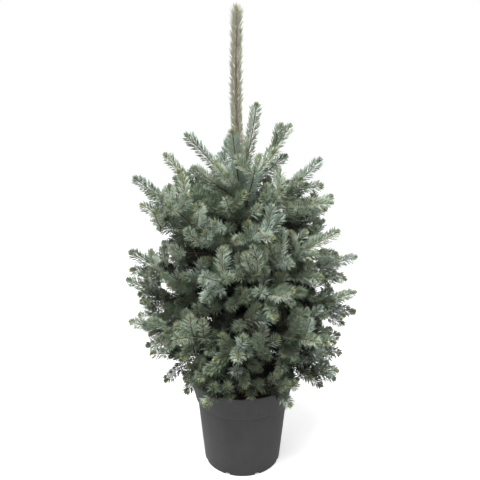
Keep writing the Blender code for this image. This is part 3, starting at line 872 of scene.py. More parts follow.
# %% One needle
NEEDLE_HALF_WIDTH = 0.85 * MM
NEEDLE_DEPTH = 0.75 * MM
NEEDLE_WIDEST = 0.60
NEEDLE_BEND = 2.6 * MM


def needle_mesh(bend):
    """A needle one unit long along +Z, with its real thickness. Its tip curves over by bend towards +X."""
    middle = bend * NEEDLE_WIDEST**2
    points = [
        (0.0, 0.0, 0.0),
        (bend, 0.0, 1.0),
        (middle + NEEDLE_HALF_WIDTH, NEEDLE_DEPTH, NEEDLE_WIDEST),
        (middle - NEEDLE_HALF_WIDTH, NEEDLE_DEPTH, NEEDLE_WIDEST),
    ]
    mesh = bpy.data.meshes.new("needle")
    mesh.from_pydata(points, [], [(0, 2, 1), (0, 1, 3), (0, 3, 2), (1, 2, 3)])
    return mesh


needle = new_object("needle", needle_mesh(NEEDLE_BEND))
needle.hide_render = True
print("triangles a needle:", triangles(needle))

# %% [markdown]
# ## Needles along a twig
#
# On a shoot each needle stands 137.5 degrees round from the last one, the golden angle, so that none shades
# the next. On a level shoot the needles below sweep out sideways and up, as if combed. The tree below walks
# along each line, turns by that angle, presses the brush a little flat, lifts it, and leans each needle
# forward, most of all at the tip, where the needles close round the bud. Then every point gets a needle of
# its own length. Its colour is the spray's, but some needles under the twig get a darker one as painted
# shade, those behind the fresh end get darker ones for age and painted shade, and some needles round a bud
# are young.

# %% Kinds of node that the trees use often
MATHS = "ShaderNodeMath"
VECTORS = "ShaderNodeVectorMath"
READ = "GeometryNodeInputNamedAttribute"
CHANCE = "FunctionNodeRandomValue"
SPREAD = "ShaderNodeMapRange"
GOLDEN_ANGLE = math.radians(GOLDEN_DEGREES)

# %% The tree that sets needles: its inputs, and what the lines say
needle_tree, sizes, result = new_tree("needles along twigs", (
    ("Needle", "Object", None),
    ("Spacing", "Float", 0.33 * MM),
    ("Length", "Float", 19 * MM),
    ("Shortest", "Float", 0.76),
    ("Longest", "Float", 1.12),
    ("Side Angle", "Float", 58.0),
    ("Tip Angle", "Float", 34.0),
    ("Angle Jitter", "Float", 10.0),
    ("Tip Reach", "Float", 11 * MM),
    ("Tip Share", "Float", 0.46),
    ("Foot Reach", "Float", 18 * MM),
    ("Foot Share", "Float", 0.45),
    ("Bare Foot", "Float", 3 * MM),
    ("Flatness", "Float", 0.85),
    ("Lift", "Float", 0.25),
    ("Old Share", "Float", 0.8),
    ("Bud Reach", "Float", 11 * MM),
    ("Seed", "Int", 1),
))
tree = needle_tree

# Where the needles stand: points along each line, and what the line says there.
lines = add(tree, "GeometryNodeMeshToCurve", {0: sizes["Geometry"]})
spots = add(tree, "GeometryNodeCurveToPoints", {0: lines, "Length": sizes["Spacing"]}, mode="LENGTH")
onward = spots.outputs["Tangent"]
across = add(tree, READ, {"Name": "across"}, data_type="FLOAT_VECTOR")
said = {label: add(tree, READ, {"Name": label}, data_type="FLOAT") for label in PLACE_MEASURES + OWN_MEASURES}

# %% The tree that sets needles: where each one points
TURN_JITTER = 0.4
UNDER_JITTER = 0.5
SEEDS = {"tilt": 11, "length": 12, "young": 13, "kept": 14, "age_and_shade": 15, "under": 16}

# Which way is up beside the twig, and which way is sideways.
raised = add(tree, VECTORS, {0: across, 1: onward}, operation="CROSS_PRODUCT")
raised = add(tree, VECTORS, {0: raised}, operation="NORMALIZE")
rise = add(tree, "ShaderNodeSeparateXYZ", {0: raised})
sign = add(tree, MATHS, {0: rise.outputs["Z"]}, operation="SIGN")
top = add(tree, VECTORS, {0: raised, "Scale": sign}, operation="SCALE")
beside = add(tree, VECTORS, {0: onward, 1: top}, operation="CROSS_PRODUCT")

# The direction away from the twig: a golden turn, pressed flat and lifted.
count = add(tree, "GeometryNodeInputIndex")
wobble = add(tree, CHANCE, {2: -TURN_JITTER, 3: TURN_JITTER, "Seed": sizes["Seed"]})
turn = add(tree, MATHS, {0: count, 1: GOLDEN_ANGLE, 2: wobble}, operation="MULTIPLY_ADD")
level = add(tree, MATHS, {0: turn}, operation="COSINE")
upright = add(tree, MATHS, {0: turn}, operation="SINE")
# A needle with a low turn, give or take chance, counts as under the twig and gets painted shade.
uneven = add(tree, CHANCE, {2: -UNDER_JITTER, 3: UNDER_JITTER, "Seed": SEEDS["under"]})
lowness = add(tree, MATHS, {0: uneven, 1: upright}, operation="ADD")
upright = add(tree, MATHS, {0: upright, 1: sizes["Flatness"], 2: sizes["Lift"]}, operation="MULTIPLY_ADD")
sideways = add(tree, VECTORS, {0: beside, "Scale": level}, operation="SCALE")
upwards = add(tree, VECTORS, {0: top, "Scale": upright}, operation="SCALE")
away = add(tree, VECTORS, {0: sideways, 1: upwards}, operation="ADD")
away = add(tree, VECTORS, {0: away}, operation="NORMALIZE")

# The needle's own direction: away from the twig and forward, and nearly straight on at the tip.
tilt = add(tree, CHANCE, {2: -1.0, 3: 1.0, "Seed": SEEDS["tilt"]})
angle = add(
    tree, SPREAD, {0: said["to_tip"], 2: sizes["Tip Reach"], 3: sizes["Tip Angle"], 4: sizes["Side Angle"]},
    interpolation_type="SMOOTHSTEP",
)
angle = add(tree, MATHS, {0: tilt, 1: sizes["Angle Jitter"], 2: angle}, operation="MULTIPLY_ADD")
angle = add(tree, MATHS, {0: angle, 1: said["narrow"]}, operation="MULTIPLY")
angle = add(tree, MATHS, {0: angle}, operation="RADIANS")
ahead = add(tree, MATHS, {0: angle}, operation="COSINE")
outward = add(tree, MATHS, {0: angle}, operation="SINE")
ahead = add(tree, VECTORS, {0: onward, "Scale": ahead}, operation="SCALE")
outward = add(tree, VECTORS, {0: away, "Scale": outward}, operation="SCALE")
lean = add(tree, VECTORS, {0: ahead, 1: outward}, operation="ADD")
aim = add(tree, "FunctionNodeAxesToRotation", {0: lean, 1: onward}, primary_axis="Z", secondary_axis="X")

# %% The tree that sets needles: how long and which colour each one is
# Past the pale stretch behind a tip the needles get shaded green, and further on near-black old green: partly
# age, partly painted shade.
EDGE_OF_AGE_AND_SHADE = (0.8, 1.2)
OLD_AND_DEEP_SHADE_AGE = 1.4
UNDER_LOWNESS = -0.55

# Its length: shorter at the foot, at the tip and on old wood.
reach = add(tree, CHANCE, {2: sizes["Shortest"], 3: sizes["Longest"], "Seed": SEEDS["length"]})
for measure, low, high, low_share, high_share in (
    ("to_tip", 0.0, sizes["Tip Reach"], sizes["Tip Share"], 1.0),
    ("from_foot", 0.0, sizes["Foot Reach"], sizes["Foot Share"], 1.0),
    ("to_tip", said["fresh"], said["fresh"], 1.0, sizes["Old Share"]),
):
    share = add(tree, SPREAD, {0: said[measure], 1: low, 2: high, 3: low_share, 4: high_share})
    reach = add(tree, MATHS, {0: reach, 1: share}, operation="MULTIPLY")
reach = add(tree, MATHS, {0: reach, 1: sizes["Length"]}, operation="MULTIPLY")
stretch = add(tree, "ShaderNodeCombineXYZ", {"X": 1.0, "Y": 1.0, "Z": reach})

# Its colour number: the spray's own; a darker one as painted shade on needles under the twig, and for age
# with painted shade behind its fresh end; the near-black old green, also painted shade, further behind; or
# young.
youngest, oldest = EDGE_OF_AGE_AND_SHADE
edge = add(tree, CHANCE, {2: youngest, 3: oldest, "Seed": SEEDS["age_and_shade"]})
age_and_shade = add(tree, MATHS, {0: said["to_tip"], 1: said["fresh"]}, operation="DIVIDE")
age_and_shade = add(tree, MATHS, {0: age_and_shade, 1: edge}, operation="MULTIPLY")
aged_and_shaded = add(tree, "FunctionNodeCompare", {0: age_and_shade, 1: 1.0}, operation="GREATER_THAN")
under = add(tree, "FunctionNodeCompare", {0: lowness, 1: UNDER_LOWNESS}, operation="LESS_THAN")
# dull marks needles that are painted darker: painted shade under the twig, and painted shade with age behind
# the fresh end.
dull = add(tree, "FunctionNodeBooleanMath", {0: aged_and_shaded, 1: under}, operation="OR")
darker = add(tree, MATHS, {0: said["dealt"], 1: float(SHADED)}, operation="MAXIMUM")
# old marks needles far behind the pale end, which get the near-black old green: age and painted shade.
old = add(tree, "FunctionNodeCompare", {0: age_and_shade, 1: OLD_AND_DEEP_SHADE_AGE}, operation="GREATER_THAN")
young_end = add(tree, MATHS, {0: said["tender"], 1: sizes["Bud Reach"]}, operation="MULTIPLY")
young_end = add(tree, CHANCE, {2: 0.0, 3: young_end, "Seed": SEEDS["young"]})
young = add(tree, "FunctionNodeCompare", {0: said["to_tip"], 1: young_end}, operation="LESS_THAN")
finish = said["dealt"]
for found, number in ((dull, darker), (old, float(OLD_AND_DEEP_SHADE)), (young, float(YOUNG))):
    finish = add(tree, "GeometryNodeSwitch", {0: found, 1: finish, 2: number}, input_type="FLOAT")

# %% The tree that sets needles: real geometry with its colours
WOOD_INSET = 0.6
NUMBER_ROOM = 0.5
clear = add(
    tree, "FunctionNodeCompare", {0: said["from_foot"], 1: sizes["Bare Foot"]}, operation="GREATER_THAN",
)
kept = add(tree, CHANCE, {6: said["full"], "Seed": SEEDS["kept"]}, data_type="BOOLEAN")
clear = add(tree, "FunctionNodeBooleanMath", {0: clear, 1: kept}, operation="AND")
inset = add(tree, MATHS, {0: said["girth"], 1: WOOD_INSET}, operation="MULTIPLY")
offset = add(tree, VECTORS, {0: away, "Scale": inset}, operation="SCALE")
spots = add(tree, "GeometryNodeSetPosition", {0: spots, "Offset": offset})
shape = add(tree, "GeometryNodeObjectInfo", {0: sizes["Needle"]})
brush = add(tree, "GeometryNodeInstanceOnPoints", {
    0: spots, "Selection": clear, "Instance": shape.outputs["Geometry"], "Rotation": aim, "Scale": stretch,
})
brush = add(
    tree, "GeometryNodeStoreNamedAttribute", {0: brush, "Name": "finish", "Value": finish},
    data_type="FLOAT", domain="INSTANCE",
)
brush = add(tree, "GeometryNodeRealizeInstances", {0: brush})
colour_number = add(tree, READ, {"Name": "finish"}, data_type="FLOAT")
for number, material in enumerate(needle_materials):
    same = {0: colour_number, 1: float(number), "Epsilon": NUMBER_ROOM}
    chosen = add(tree, "FunctionNodeCompare", same, operation="EQUAL")
    brush = add(tree, "GeometryNodeSetMaterial", {0: brush, "Selection": chosen, "Material": material})
feed(tree, result, {0: brush})
print("nodes in the needle tree:", len(tree.nodes))

# %% [markdown]
# ## Needles on the boughs
#
# The needles of the crown are joined whorl by whorl, in pieces small enough to handle. Each piece stands
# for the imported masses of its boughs. A second call with steeper needles, set closer, dresses the leader,
# where they lie along the shoot like scales.

# %% Needles on the boughs
NEEDLE_GROUPS = (
    ("crown_needles", ("crown", "collar"), None),
    ("shoulder_needles", ("shoulder",), None),
    ("upper_needles_left", ("upper",), (1, 5, 6, 7)),
    ("upper_needles_right", ("upper",), (2, 3, 4, 8)),
    ("middle_needles_left", ("middle",), (1, 2, 6, 7)),
    ("middle_needles_right", ("middle",), (3, 4, 5, 8)),
    ("skirt_needles_left", ("skirt",), (4, 5, 6, 7)),
    ("skirt_needles_right", ("skirt",), (1, 2, 3, 8, 9)),
)
needle_pieces = []
for name, whorls, numbers in NEEDLE_GROUPS:
    chosen = []
    for number, bough in enumerate(boughs):
        whorl, row = bough.name.split("_")
        if whorl in whorls and (numbers is None or int(row) in numbers):
            chosen.append(number)
    dressed = [shoot for shoot in shoots if shoot.mass in chosen]
    rows = [shoot_row(shoot) for shoot in dressed]
    rows += [tuft_row(shoot) for shoot in dressed if shoot.dealt != OLD_AND_DEEP_SHADE]
    piece = run_tree(needle_tree, name, line_mesh(name, rows), {"Needle": needle})
    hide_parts(*[f"{boughs[number].name}_needles" for number in chosen])
    needle_pieces.append(piece)
    print(name, "triangles:", triangles(piece))

# %% Needles on the leader
LEADER_START = 0.616
LEADER_POINTS = 45


def trunk_row(heights):
    """A row along the trunk's line, with the trunk's radii."""
    shoot = Shoot(trunk_points(heights), -1, 0, heading(0, 0))
    return row_of(shoot, np.array([trunk_radius(max(height, SOIL_LEVEL)) for height in heights]))


leader_row = trunk_row(np.linspace(LEADER_START, TRUNK_TIP_HEIGHT, LEADER_POINTS))
leader = leader_row[0]
leader.dealt = BEIGE
leader_needles = run_tree(needle_tree, "leader_needles", line_mesh("leader", [leader_row]), {
    "Needle": needle, "Spacing": 0.24 * MM, "Length": 20 * MM, "Side Angle": 42.0, "Tip Angle": 22.0,
    "Tip Share": 0.85, "Foot Share": 0.9, "Flatness": 1.0, "Lift": 0.0,
})
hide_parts("leader_needles")
needle_pieces.append(leader_needles)
print("leader triangles:", triangles(leader_needles))

# %% [markdown]
# ## Bark
#
# Young spruce bark is thin and scaly, grey-brown on the trunk and tan to orange-brown on the twigs, and it
# carries the small pegs that old needles stood on. Relief of this size shows at the edges of the wood, so
# it is real geometry: a tube along each line, pushed in and out by cells the size of a bark scale. The same
# tree makes the trunk, the bare limbs and the twigs.

# %% Bark materials
def natural_finish(name, tones, stops, patches, grain, relief, roughness):
    """A dull surface in patches of two tones, with a grain in its bump. Patches and grain are noises, each
    with its size, detail and roughness. Stops are where the tones lie, and relief is strength and height."""
    finish = new_material(name, Roughness=roughness)
    tree = finish.node_tree
    place = add(tree, "ShaderNodeTexCoord").outputs["Object"]
    noises = []
    for size, detail, rough in (patches, grain):
        noise = {"Vector": place, "Scale": 1 / size, "Detail": detail, "Roughness": rough}
        noises.append(add(tree, "ShaderNodeTexNoise", noise))
    tint = add(tree, "ShaderNodeValToRGB", {0: noises[0]})
    for stop, position, tone in zip(tint.color_ramp.elements, stops, tones):
        stop.position, stop.color = position, linear(tone)
    strength, height = relief
    bump = add(tree, "ShaderNodeBump", {"Strength": strength, "Distance": height, "Height": noises[1]})
    feed(tree, tree.nodes[PRINCIPLED], {"Base Color": tint, "Normal": bump})
    return finish


def new_bark(name, tones, roughness, scale_size):
    """Bark whose colour varies from scale to scale, with a grain a quarter of that size."""
    patches, grain = (scale_size, 4.0, 0.6), (scale_size / 4, 3.0, 0.5)
    return natural_finish(name, tones, (0.32, 0.68), patches, grain, (0.5, 0.4 * MM), roughness)


trunk_bark = new_bark("spruce bark grey brown", ("4A3A2E", "80695A"), 0.85, 6 * MM)
twig_bark = new_bark("spruce twig bark tan", ("46301F", "84603E"), 0.7, 9 * MM)

# %% The tree that lays bark on lines
SCALE_MIDDLE = 0.45


def finish_tree(tree, shape, material, result):
    """Ends a tree: its instances become real faces, which all get one material."""
    shape = add(tree, "GeometryNodeRealizeInstances", {0: shape})
    shape = add(tree, "GeometryNodeSetMaterial", {0: shape, "Material": material})
    feed(tree, result, {0: shape})


bark_tree, sizes, result = new_tree("bark over lines", (
    ("Sides", "Int", 6),
    ("Ring Spacing", "Float", 4 * MM),
    ("Relief", "Float", 0.3),
    ("Scale Size", "Float", 4 * MM),
    ("Bark", "Material", None),
))
tree = bark_tree
lines = add(tree, "GeometryNodeMeshToCurve", {0: sizes["Geometry"]})
lines = add(tree, "GeometryNodeResampleCurve", {0: lines, "Length": sizes["Ring Spacing"]}, mode="LENGTH")
girth = add(tree, READ, {"Name": "girth"}, data_type="FLOAT")
ring = add(
    tree, "GeometryNodeCurvePrimitiveCircle", {"Resolution": sizes["Sides"], "Radius": 1.0}, mode="RADIUS",
)
wood = add(tree, "GeometryNodeCurveToMesh", {
    0: lines, "Profile Curve": ring, "Scale": girth, "Fill Caps": True,
})
fineness = add(tree, MATHS, {0: 1.0, 1: sizes["Scale Size"]}, operation="DIVIDE")
scales = add(tree, "ShaderNodeTexVoronoi", {"Scale": fineness, "Detail": 1.0}, feature="F1")
height = add(tree, MATHS, {0: SCALE_MIDDLE, 1: scales}, operation="SUBTRACT")
for factor in (sizes["Relief"], girth):
    height = add(tree, MATHS, {0: height, 1: factor}, operation="MULTIPLY")
outward = add(tree, "GeometryNodeInputNormal")
offset = add(tree, VECTORS, {0: outward, "Scale": height}, operation="SCALE")
wood = add(tree, "GeometryNodeSetPosition", {0: wood, "Offset": offset})
wood = add(tree, "GeometryNodeSetShadeSmooth", {0: wood})
finish_tree(tree, wood, sizes["Bark"], result)

# %% Trunk, boughs and twigs
TRUNK_STEP = 0.004
TRUNK_IN_SOIL = 0.006
bark_row = trunk_row(np.arange(SOIL_LEVEL - TRUNK_IN_SOIL, TRUNK_TIP_HEIGHT, TRUNK_STEP))
trunk = run_tree(bark_tree, "trunk_bark", line_mesh("trunk", [bark_row]), {
    "Sides": 32, "Ring Spacing": 2.5 * MM, "Relief": 0.28, "Scale Size": 5 * MM, "Bark": trunk_bark,
})
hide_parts("trunk")

LIMB_GIRTH = (0.0050, 0.0034)
LIMB_SHARE = 0.4
rows = []
for bough in boughs:
    if bough.limb is not None:
        bare = bough.axis.points[bough.axis.along <= bough.axis.length * LIMB_SHARE]
        limb = Shoot(bare, 0, 0, bough.axis.side)
        rows.append(row_of(limb, LIMB_GIRTH[0] + (LIMB_GIRTH[1] - LIMB_GIRTH[0]) * limb.along / limb.length))
limbs = run_tree(bark_tree, "bough_bark", line_mesh("boughs", rows), {
    "Sides": 16, "Ring Spacing": 2.5 * MM, "Relief": 0.25, "Scale Size": 4 * MM, "Bark": trunk_bark,
})
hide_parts(*[f"{bough.name}_bough" for bough in boughs if bough.limb is not None])

twigs = run_tree(bark_tree, "twig_bark", line_mesh("twigs", [shoot_row(shoot) for shoot in shoots]), {
    "Sides": 5, "Ring Spacing": 6 * MM, "Relief": 0.5, "Scale Size": 2.5 * MM, "Bark": twig_bark,
})
print("trunk, bough and twig triangles:", triangles(trunk), triangles(limbs), triangles(twigs))

# %% [markdown]
# ## Buds
#
# A shoot ends in a pointed brown bud under papery scales, and a main one has a smaller bud on each side of
# it. Only the oldest shoots in the shade have none. A bud is a turned drop with a few facets, drawn in
# where the scales overlap, and every second ring of its points is staggered.

# %% Buds
BUD_SIDES = 6
BUD_PROFILE = ((0.0, 0.0), (0.85, 0.12), (1.0, 0.36), (0.62, 0.70), (0.0, 1.0))
BUD_LENGTH = 7.5 * MM
BUD_RADIUS = 2.4 * MM


def turned_mesh(name, profile, sides, stagger=0.0):
    """A closed mesh turned round +Z from (radius, height) points that run from pole to pole."""
    rings = profile[1:-1]
    points = [(0.0, 0.0, profile[0][1])]
    for number, (radius, height) in enumerate(rings):
        for side in range(sides):
            angle = 2 * math.pi * (side + stagger * (number % 2)) / sides
            points.append((radius * math.cos(angle), radius * math.sin(angle), height))
    points.append((0.0, 0.0, profile[-1][1]))
    faces = []
    last = 1 + (len(rings) - 1) * sides
    for side in range(sides):
        following = (side + 1) % sides
        faces.append((0, 1 + following, 1 + side))
        for low in range(1, last, sides):
            high = low + sides
            faces.append((low + side, low + following, high + following, high + side))
        faces.append((last + side, last + following, len(points) - 1))
    mesh = bpy.data.meshes.new(name)
    mesh.from_pydata(points, [], faces, shade_flat=False)
    return mesh


bud = new_object("bud", turned_mesh("bud", BUD_PROFILE, BUD_SIDES, stagger=0.5))
bud.hide_render = True
bud_scales = new_material("spruce bud scales", Base_Color=linear("6E5838"), Roughness=0.6)

# %% The tree that sets buds
bud_tree, sizes, result = new_tree("buds at tips", (
    ("Bud", "Object", None),
    ("Length", "Float", BUD_LENGTH),
    ("Radius", "Float", BUD_RADIUS),
    ("Scales", "Material", None),
))
tree = bud_tree
spots = add(tree, "GeometryNodeMeshToPoints", {0: sizes["Geometry"]})
onward = add(tree, READ, {"Name": "onward"}, data_type="FLOAT_VECTOR")
size = add(tree, READ, {"Name": "size"}, data_type="FLOAT")
aim = add(tree, "FunctionNodeAlignRotationToVector", {"Vector": onward}, axis="Z")
wide, long = (
    add(tree, MATHS, {0: size, 1: sizes[way]}, operation="MULTIPLY") for way in ("Radius", "Length")
)
stretch = add(tree, "ShaderNodeCombineXYZ", {"X": wide, "Y": wide, "Z": long})
shape = add(tree, "GeometryNodeObjectInfo", {0: sizes["Bud"]})
cluster = add(tree, "GeometryNodeInstanceOnPoints", {
    0: spots, "Instance": shape.outputs["Geometry"], "Rotation": aim, "Scale": stretch,
})
finish_tree(tree, cluster, sizes["Scales"], result)

# %% Buds at every tip
SIDE_BUD_ANGLE = math.radians(38)
SIDE_BUD_SIZE = 0.72
TWIG_BUD_SIZE = 0.8
BUD_SIZES = (0.75, 1.0)
BUD_START = 0.5 * MM
SIDE_BUD_START = 1.0 * MM
BUD_SEED = 3
random = np.random.default_rng(BUD_SEED)
places, aims, bud_sizes = [], [], []
for shoot in [*shoots, leader]:
    end, onward = shoot.points[-1], shoot.tangent(shoot.length)
    size = random.uniform(*BUD_SIZES) * (TWIG_BUD_SIZE if shoot.order > 1 else 1.0)
    if shoot.dealt == OLD_AND_DEEP_SHADE:
        continue
    places.append(end + onward * BUD_START)
    aims.append(onward)
    bud_sizes.append(size)
    for hand in (1, -1) if shoot.order < 2 else ():
        places.append(end - onward * SIDE_BUD_START)
        aims.append(unit(onward * math.cos(SIDE_BUD_ANGLE) + shoot.side * hand * math.sin(SIDE_BUD_ANGLE)))
        bud_sizes.append(size * SIDE_BUD_SIZE)
mesh = bpy.data.meshes.new("bud places")
mesh.from_pydata(np.array(places).tolist(), [], [])
store(mesh, "onward", aims)
store(mesh, "size", bud_sizes)
buds = run_tree(bud_tree, "buds", mesh, {"Bud": bud, "Scales": bud_scales})
print("bud triangles:", triangles(buds))
for helper in (needle, bud):
    bpy.data.objects.remove(helper)

# %% [markdown]
# ## The pot
#
# The pot is injection moulded from dark grey polypropylene. Its wall is thin and slightly conical, and a
# wider collar stiffens the rim. Such a form is turned from one profile. The profile's corners are rounded,
# because a mould never leaves a knife edge, and a rounded lip catches the light.

# %% The pot's profile
COLLAR_FOOT_RADIUS = 0.1030
COLLAR_FOOT_HEIGHT = 0.1550
BODY_TOP_RADIUS = 0.0990
BASE_RADIUS = 0.0846
POT_WALL = 0.0024
COLLAR_STEP = 0.0040
POT_SEGMENTS = 144


def wall_radius(height):
    """The outer radius of the pot's body below the collar."""
    return BASE_RADIUS + (BODY_TOP_RADIUS - BASE_RADIUS) * height / COLLAR_FOOT_HEIGHT


def collar_radius(height):
    """The outer radius of the collar above the body."""
    share = (height - COLLAR_FOOT_HEIGHT) / (POT_HEIGHT - COLLAR_FOOT_HEIGHT)
    return COLLAR_FOOT_RADIUS + (RIM_RADIUS - COLLAR_FOOT_RADIUS) * share


def rounded(corners, steps=4):
    """A profile through corners (radius, height, rounding), each cut back by its rounding and bridged."""
    made = []
    for number, (radius, height, rounding) in enumerate(corners):
        corner = np.array((radius, height))
        if not rounding:
            made.append(corner)
            continue
        before = unit(np.array(corners[number - 1][:2]) - corner) * rounding
        after = unit(np.array(corners[number + 1][:2]) - corner) * rounding
        for step in range(steps + 1):
            share = step / steps
            made.append(corner + before * (1 - share) ** 2 + after * share**2)
    return made


under_collar = COLLAR_FOOT_HEIGHT - COLLAR_STEP
in_collar = COLLAR_FOOT_HEIGHT + COLLAR_STEP
pot_profile = rounded((
    (0.0, 0.0, 0),
    (wall_radius(0.0), 0.0, 3.2 * MM),
    (wall_radius(under_collar), under_collar, 1.5 * MM),
    (COLLAR_FOOT_RADIUS, COLLAR_FOOT_HEIGHT - 1.2 * MM, 1.2 * MM),
    (RIM_RADIUS, POT_HEIGHT, 1.1 * MM),
    (RIM_RADIUS - POT_WALL, POT_HEIGHT, 0.9 * MM),
    (collar_radius(in_collar) - POT_WALL, in_collar, 1.5 * MM),
    (wall_radius(under_collar) - POT_WALL, under_collar - COLLAR_STEP, 1.5 * MM),
    (wall_radius(POT_WALL) - POT_WALL, POT_WALL, 2 * MM),
    (0.0, POT_WALL, 0),
))
print("points in the pot's profile:", len(pot_profile))

# %% [markdown]
# The bud's rule turns that profile too. The ring at each pole is one point, so the shell is closed, and the
# long straight walls get rings in between, so that the facets stay near square.

# %% The pot's mesh
WALL_RING = 12 * MM


def lathe(name, profile, sides):
    """A closed solid of revolution from a profile, with rings added on its long straight walls."""
    full = [profile[0]]
    for start, end in zip(profile[:-1], profile[1:]):
        rings = max(1, round(np.linalg.norm(end - start) / WALL_RING))
        full += [start + (end - start) * (ring + 1) / rings for ring in range(rings)]
    return new_object(name, turned_mesh(name, full, sides))


pot = lathe("pot_shell", pot_profile, POT_SEGMENTS)
print("pot triangles before its notches:", triangles(pot))

# %% [markdown]
# Eight notches in the foot let water out. A Boolean cuts them all at once with rounded blocks that stand in
# a ring.

# %% Drain notches
DRAIN_NOTCHES = 8
DRAIN_NOTCH_SIZE = (12 * MM, 11 * MM, 12 * MM)
NOTCH_ROUNDING = 1.2 * MM
SHARP_FROM = math.radians(35)


def built_mesh(name, build):
    """The mesh of a shape that bmesh has built."""
    mesh = bpy.data.meshes.new(name)
    build.to_mesh(mesh)
    build.free()
    return mesh


cutters = bpy.data.collections.new("notch cutters")
bpy.context.scene.collection.children.link(cutters)
for number in range(DRAIN_NOTCHES):
    build = bmesh.new()
    bmesh.ops.create_cube(build, size=1.0)
    bmesh.ops.scale(build, vec=DRAIN_NOTCH_SIZE, verts=build.verts)
    bmesh.ops.bevel(build, geom=build.edges, offset=NOTCH_ROUNDING, segments=2, affect="EDGES")
    notch = bpy.data.objects.new("notch", built_mesh("notch", build))
    bearing = 2 * math.pi * (number + 0.5) / DRAIN_NOTCHES
    notch.location = (BASE_RADIUS * math.cos(bearing), BASE_RADIUS * math.sin(bearing), 0.0)
    notch.rotation_euler = (0.0, 0.0, bearing)
    cutters.objects.link(notch)
cut = pot.modifiers.new("notches", "BOOLEAN")
cut.operation = "DIFFERENCE"
cut.operand_type = "COLLECTION"
cut.collection = cutters
graph = bpy.context.evaluated_depsgraph_get()
pot.data = bpy.data.meshes.new_from_object(pot.evaluated_get(graph), depsgraph=graph)
pot.modifiers.clear()
pot.data.name = "pot_shell"
for notch in list(cutters.objects):
    bpy.data.objects.remove(notch)
bpy.data.collections.remove(cutters)
pot.data.set_sharp_from_angle(angle=SHARP_FROM)
print("pot triangles:", triangles(pot))

# %% [markdown]
# ## Moulded polypropylene
#
# Polypropylene with carbon grey pigment is satin, not glossy: the mould's etched face leaves a grain of
# about half a millimetre. Melt flows up the wall as it fills the mould, which leaves faint upright streaks,
# and handling leaves pale dust. The streaks are noise that is stretched along Z, and the dust makes patches
# a little paler and duller.

# %% Polypropylene
GRAIN = 0.6 * MM
STREAK_WIDTH = 9 * MM
STREAK_STRETCH = 0.06
DUST_PATCH = 45 * MM
plastic = new_material("moulded grey polypropylene", IOR=1.49, Sheen_Weight=0.2, Sheen_Roughness=0.5)
tree = plastic.node_tree
place = add(tree, "ShaderNodeTexCoord").outputs["Object"]
squeeze = add(tree, "ShaderNodeMapping", {
    "Vector": place, "Scale": (1 / STREAK_WIDTH, 1 / STREAK_WIDTH, STREAK_STRETCH / STREAK_WIDTH),
})
streaks = add(tree, "ShaderNodeTexNoise", {"Vector": squeeze, "Scale": 1.0, "Detail": 2.0})
dust = add(tree, "ShaderNodeTexNoise", {
    "Vector": place, "Scale": 1 / DUST_PATCH, "Detail": 6.0, "Roughness": 0.65,
})
mixed = add(tree, MATHS, {0: streaks, 1: 0.35, 2: dust}, operation="MULTIPLY_ADD")
tint = add(tree, "ShaderNodeValToRGB", {0: mixed})
for stop, position, colour in zip(tint.color_ramp.elements, (0.45, 0.95), ("424244", "4D4D4F")):
    stop.position, stop.color = position, linear(colour)
dull = add(tree, SPREAD, {0: dust, "From Min": 0.35, "From Max": 0.7, "To Min": 0.46, "To Max": 0.58})
grain = add(tree, "ShaderNodeTexNoise", {"Vector": place, "Scale": 1 / GRAIN, "Detail": 2.0})
bump = add(tree, "ShaderNodeBump", {"Strength": 0.25, "Distance": 0.15 * MM, "Height": grain})
feed(tree, tree.nodes[PRINCIPLED], {"Base Color": tint, "Roughness": dull, "Normal": bump})
pot.data.materials.clear()
pot.data.materials.append(plastic)
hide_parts("pot")

# %% [markdown]
# ## Soil
#
# Potting soil is dark peat with coarse crumbs. Its surface sinks towards the wall of the pot where water
# has settled it. The lump is turned like the pot and its top is lifted by a sum of waves. Crumbs of a few
# faces are then scattered on the top by Geometry Nodes, turned every way.

# %% The lump of peat
SOIL_EDGE_DROP = 0.0040
SOIL_RINGS = 26
SOIL_SEGMENTS = 120
SOIL_ROUGHNESS = 1.1 * MM
SOIL_SEED = 6
WAVES = 24
WAVE_SLOPES = (60, 700)
FULL_TURN = 6.28
soil_edge = SOIL_LEVEL - SOIL_EDGE_DROP
clear = POT_WALL + SEAT_GAP
edge_radius = collar_radius(soil_edge) - clear - SEAT_GAP
soil_profile = [
    (0.0, clear),
    (wall_radius(clear) - clear, clear),
    (wall_radius(under_collar) - clear, under_collar - COLLAR_STEP),
    (collar_radius(in_collar) - clear, in_collar),
]
for ring in range(SOIL_RINGS + 1):
    share = ring / SOIL_RINGS
    soil_profile.append((edge_radius * (1 - share), soil_edge + SOIL_EDGE_DROP * share**0.5))
soil = lathe("peat", [np.array(point) for point in soil_profile], SOIL_SEGMENTS)
soil_noise = np.random.default_rng(SOIL_SEED)
waves = []
for _ in range(WAVES):
    slope = soil_noise.uniform(*WAVE_SLOPES, 2) * soil_noise.choice((-1, 1), 2)
    waves.append((slope, soil_noise.uniform(0, FULL_TURN)))
for vertex in soil.data.vertices:
    x, y, z = vertex.co
    if z > soil_edge - MM and math.hypot(x, y) < edge_radius - 2 * MM:
        lift = sum(math.sin(x * slope[0] + y * slope[1] + phase) for slope, phase in waves) / WAVES**0.5
        vertex.co.z += SOIL_ROUGHNESS * lift

# %% Peat
FIBRES = (3 * MM, 6.0, 0.7)
peat = natural_finish("moist peat", ("1E1712", "4A382A"), (0.35, 0.7), FIBRES, FIBRES, (0.8, 1 * MM), 0.95)
soil.data.materials.append(peat)
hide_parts("potting_soil")

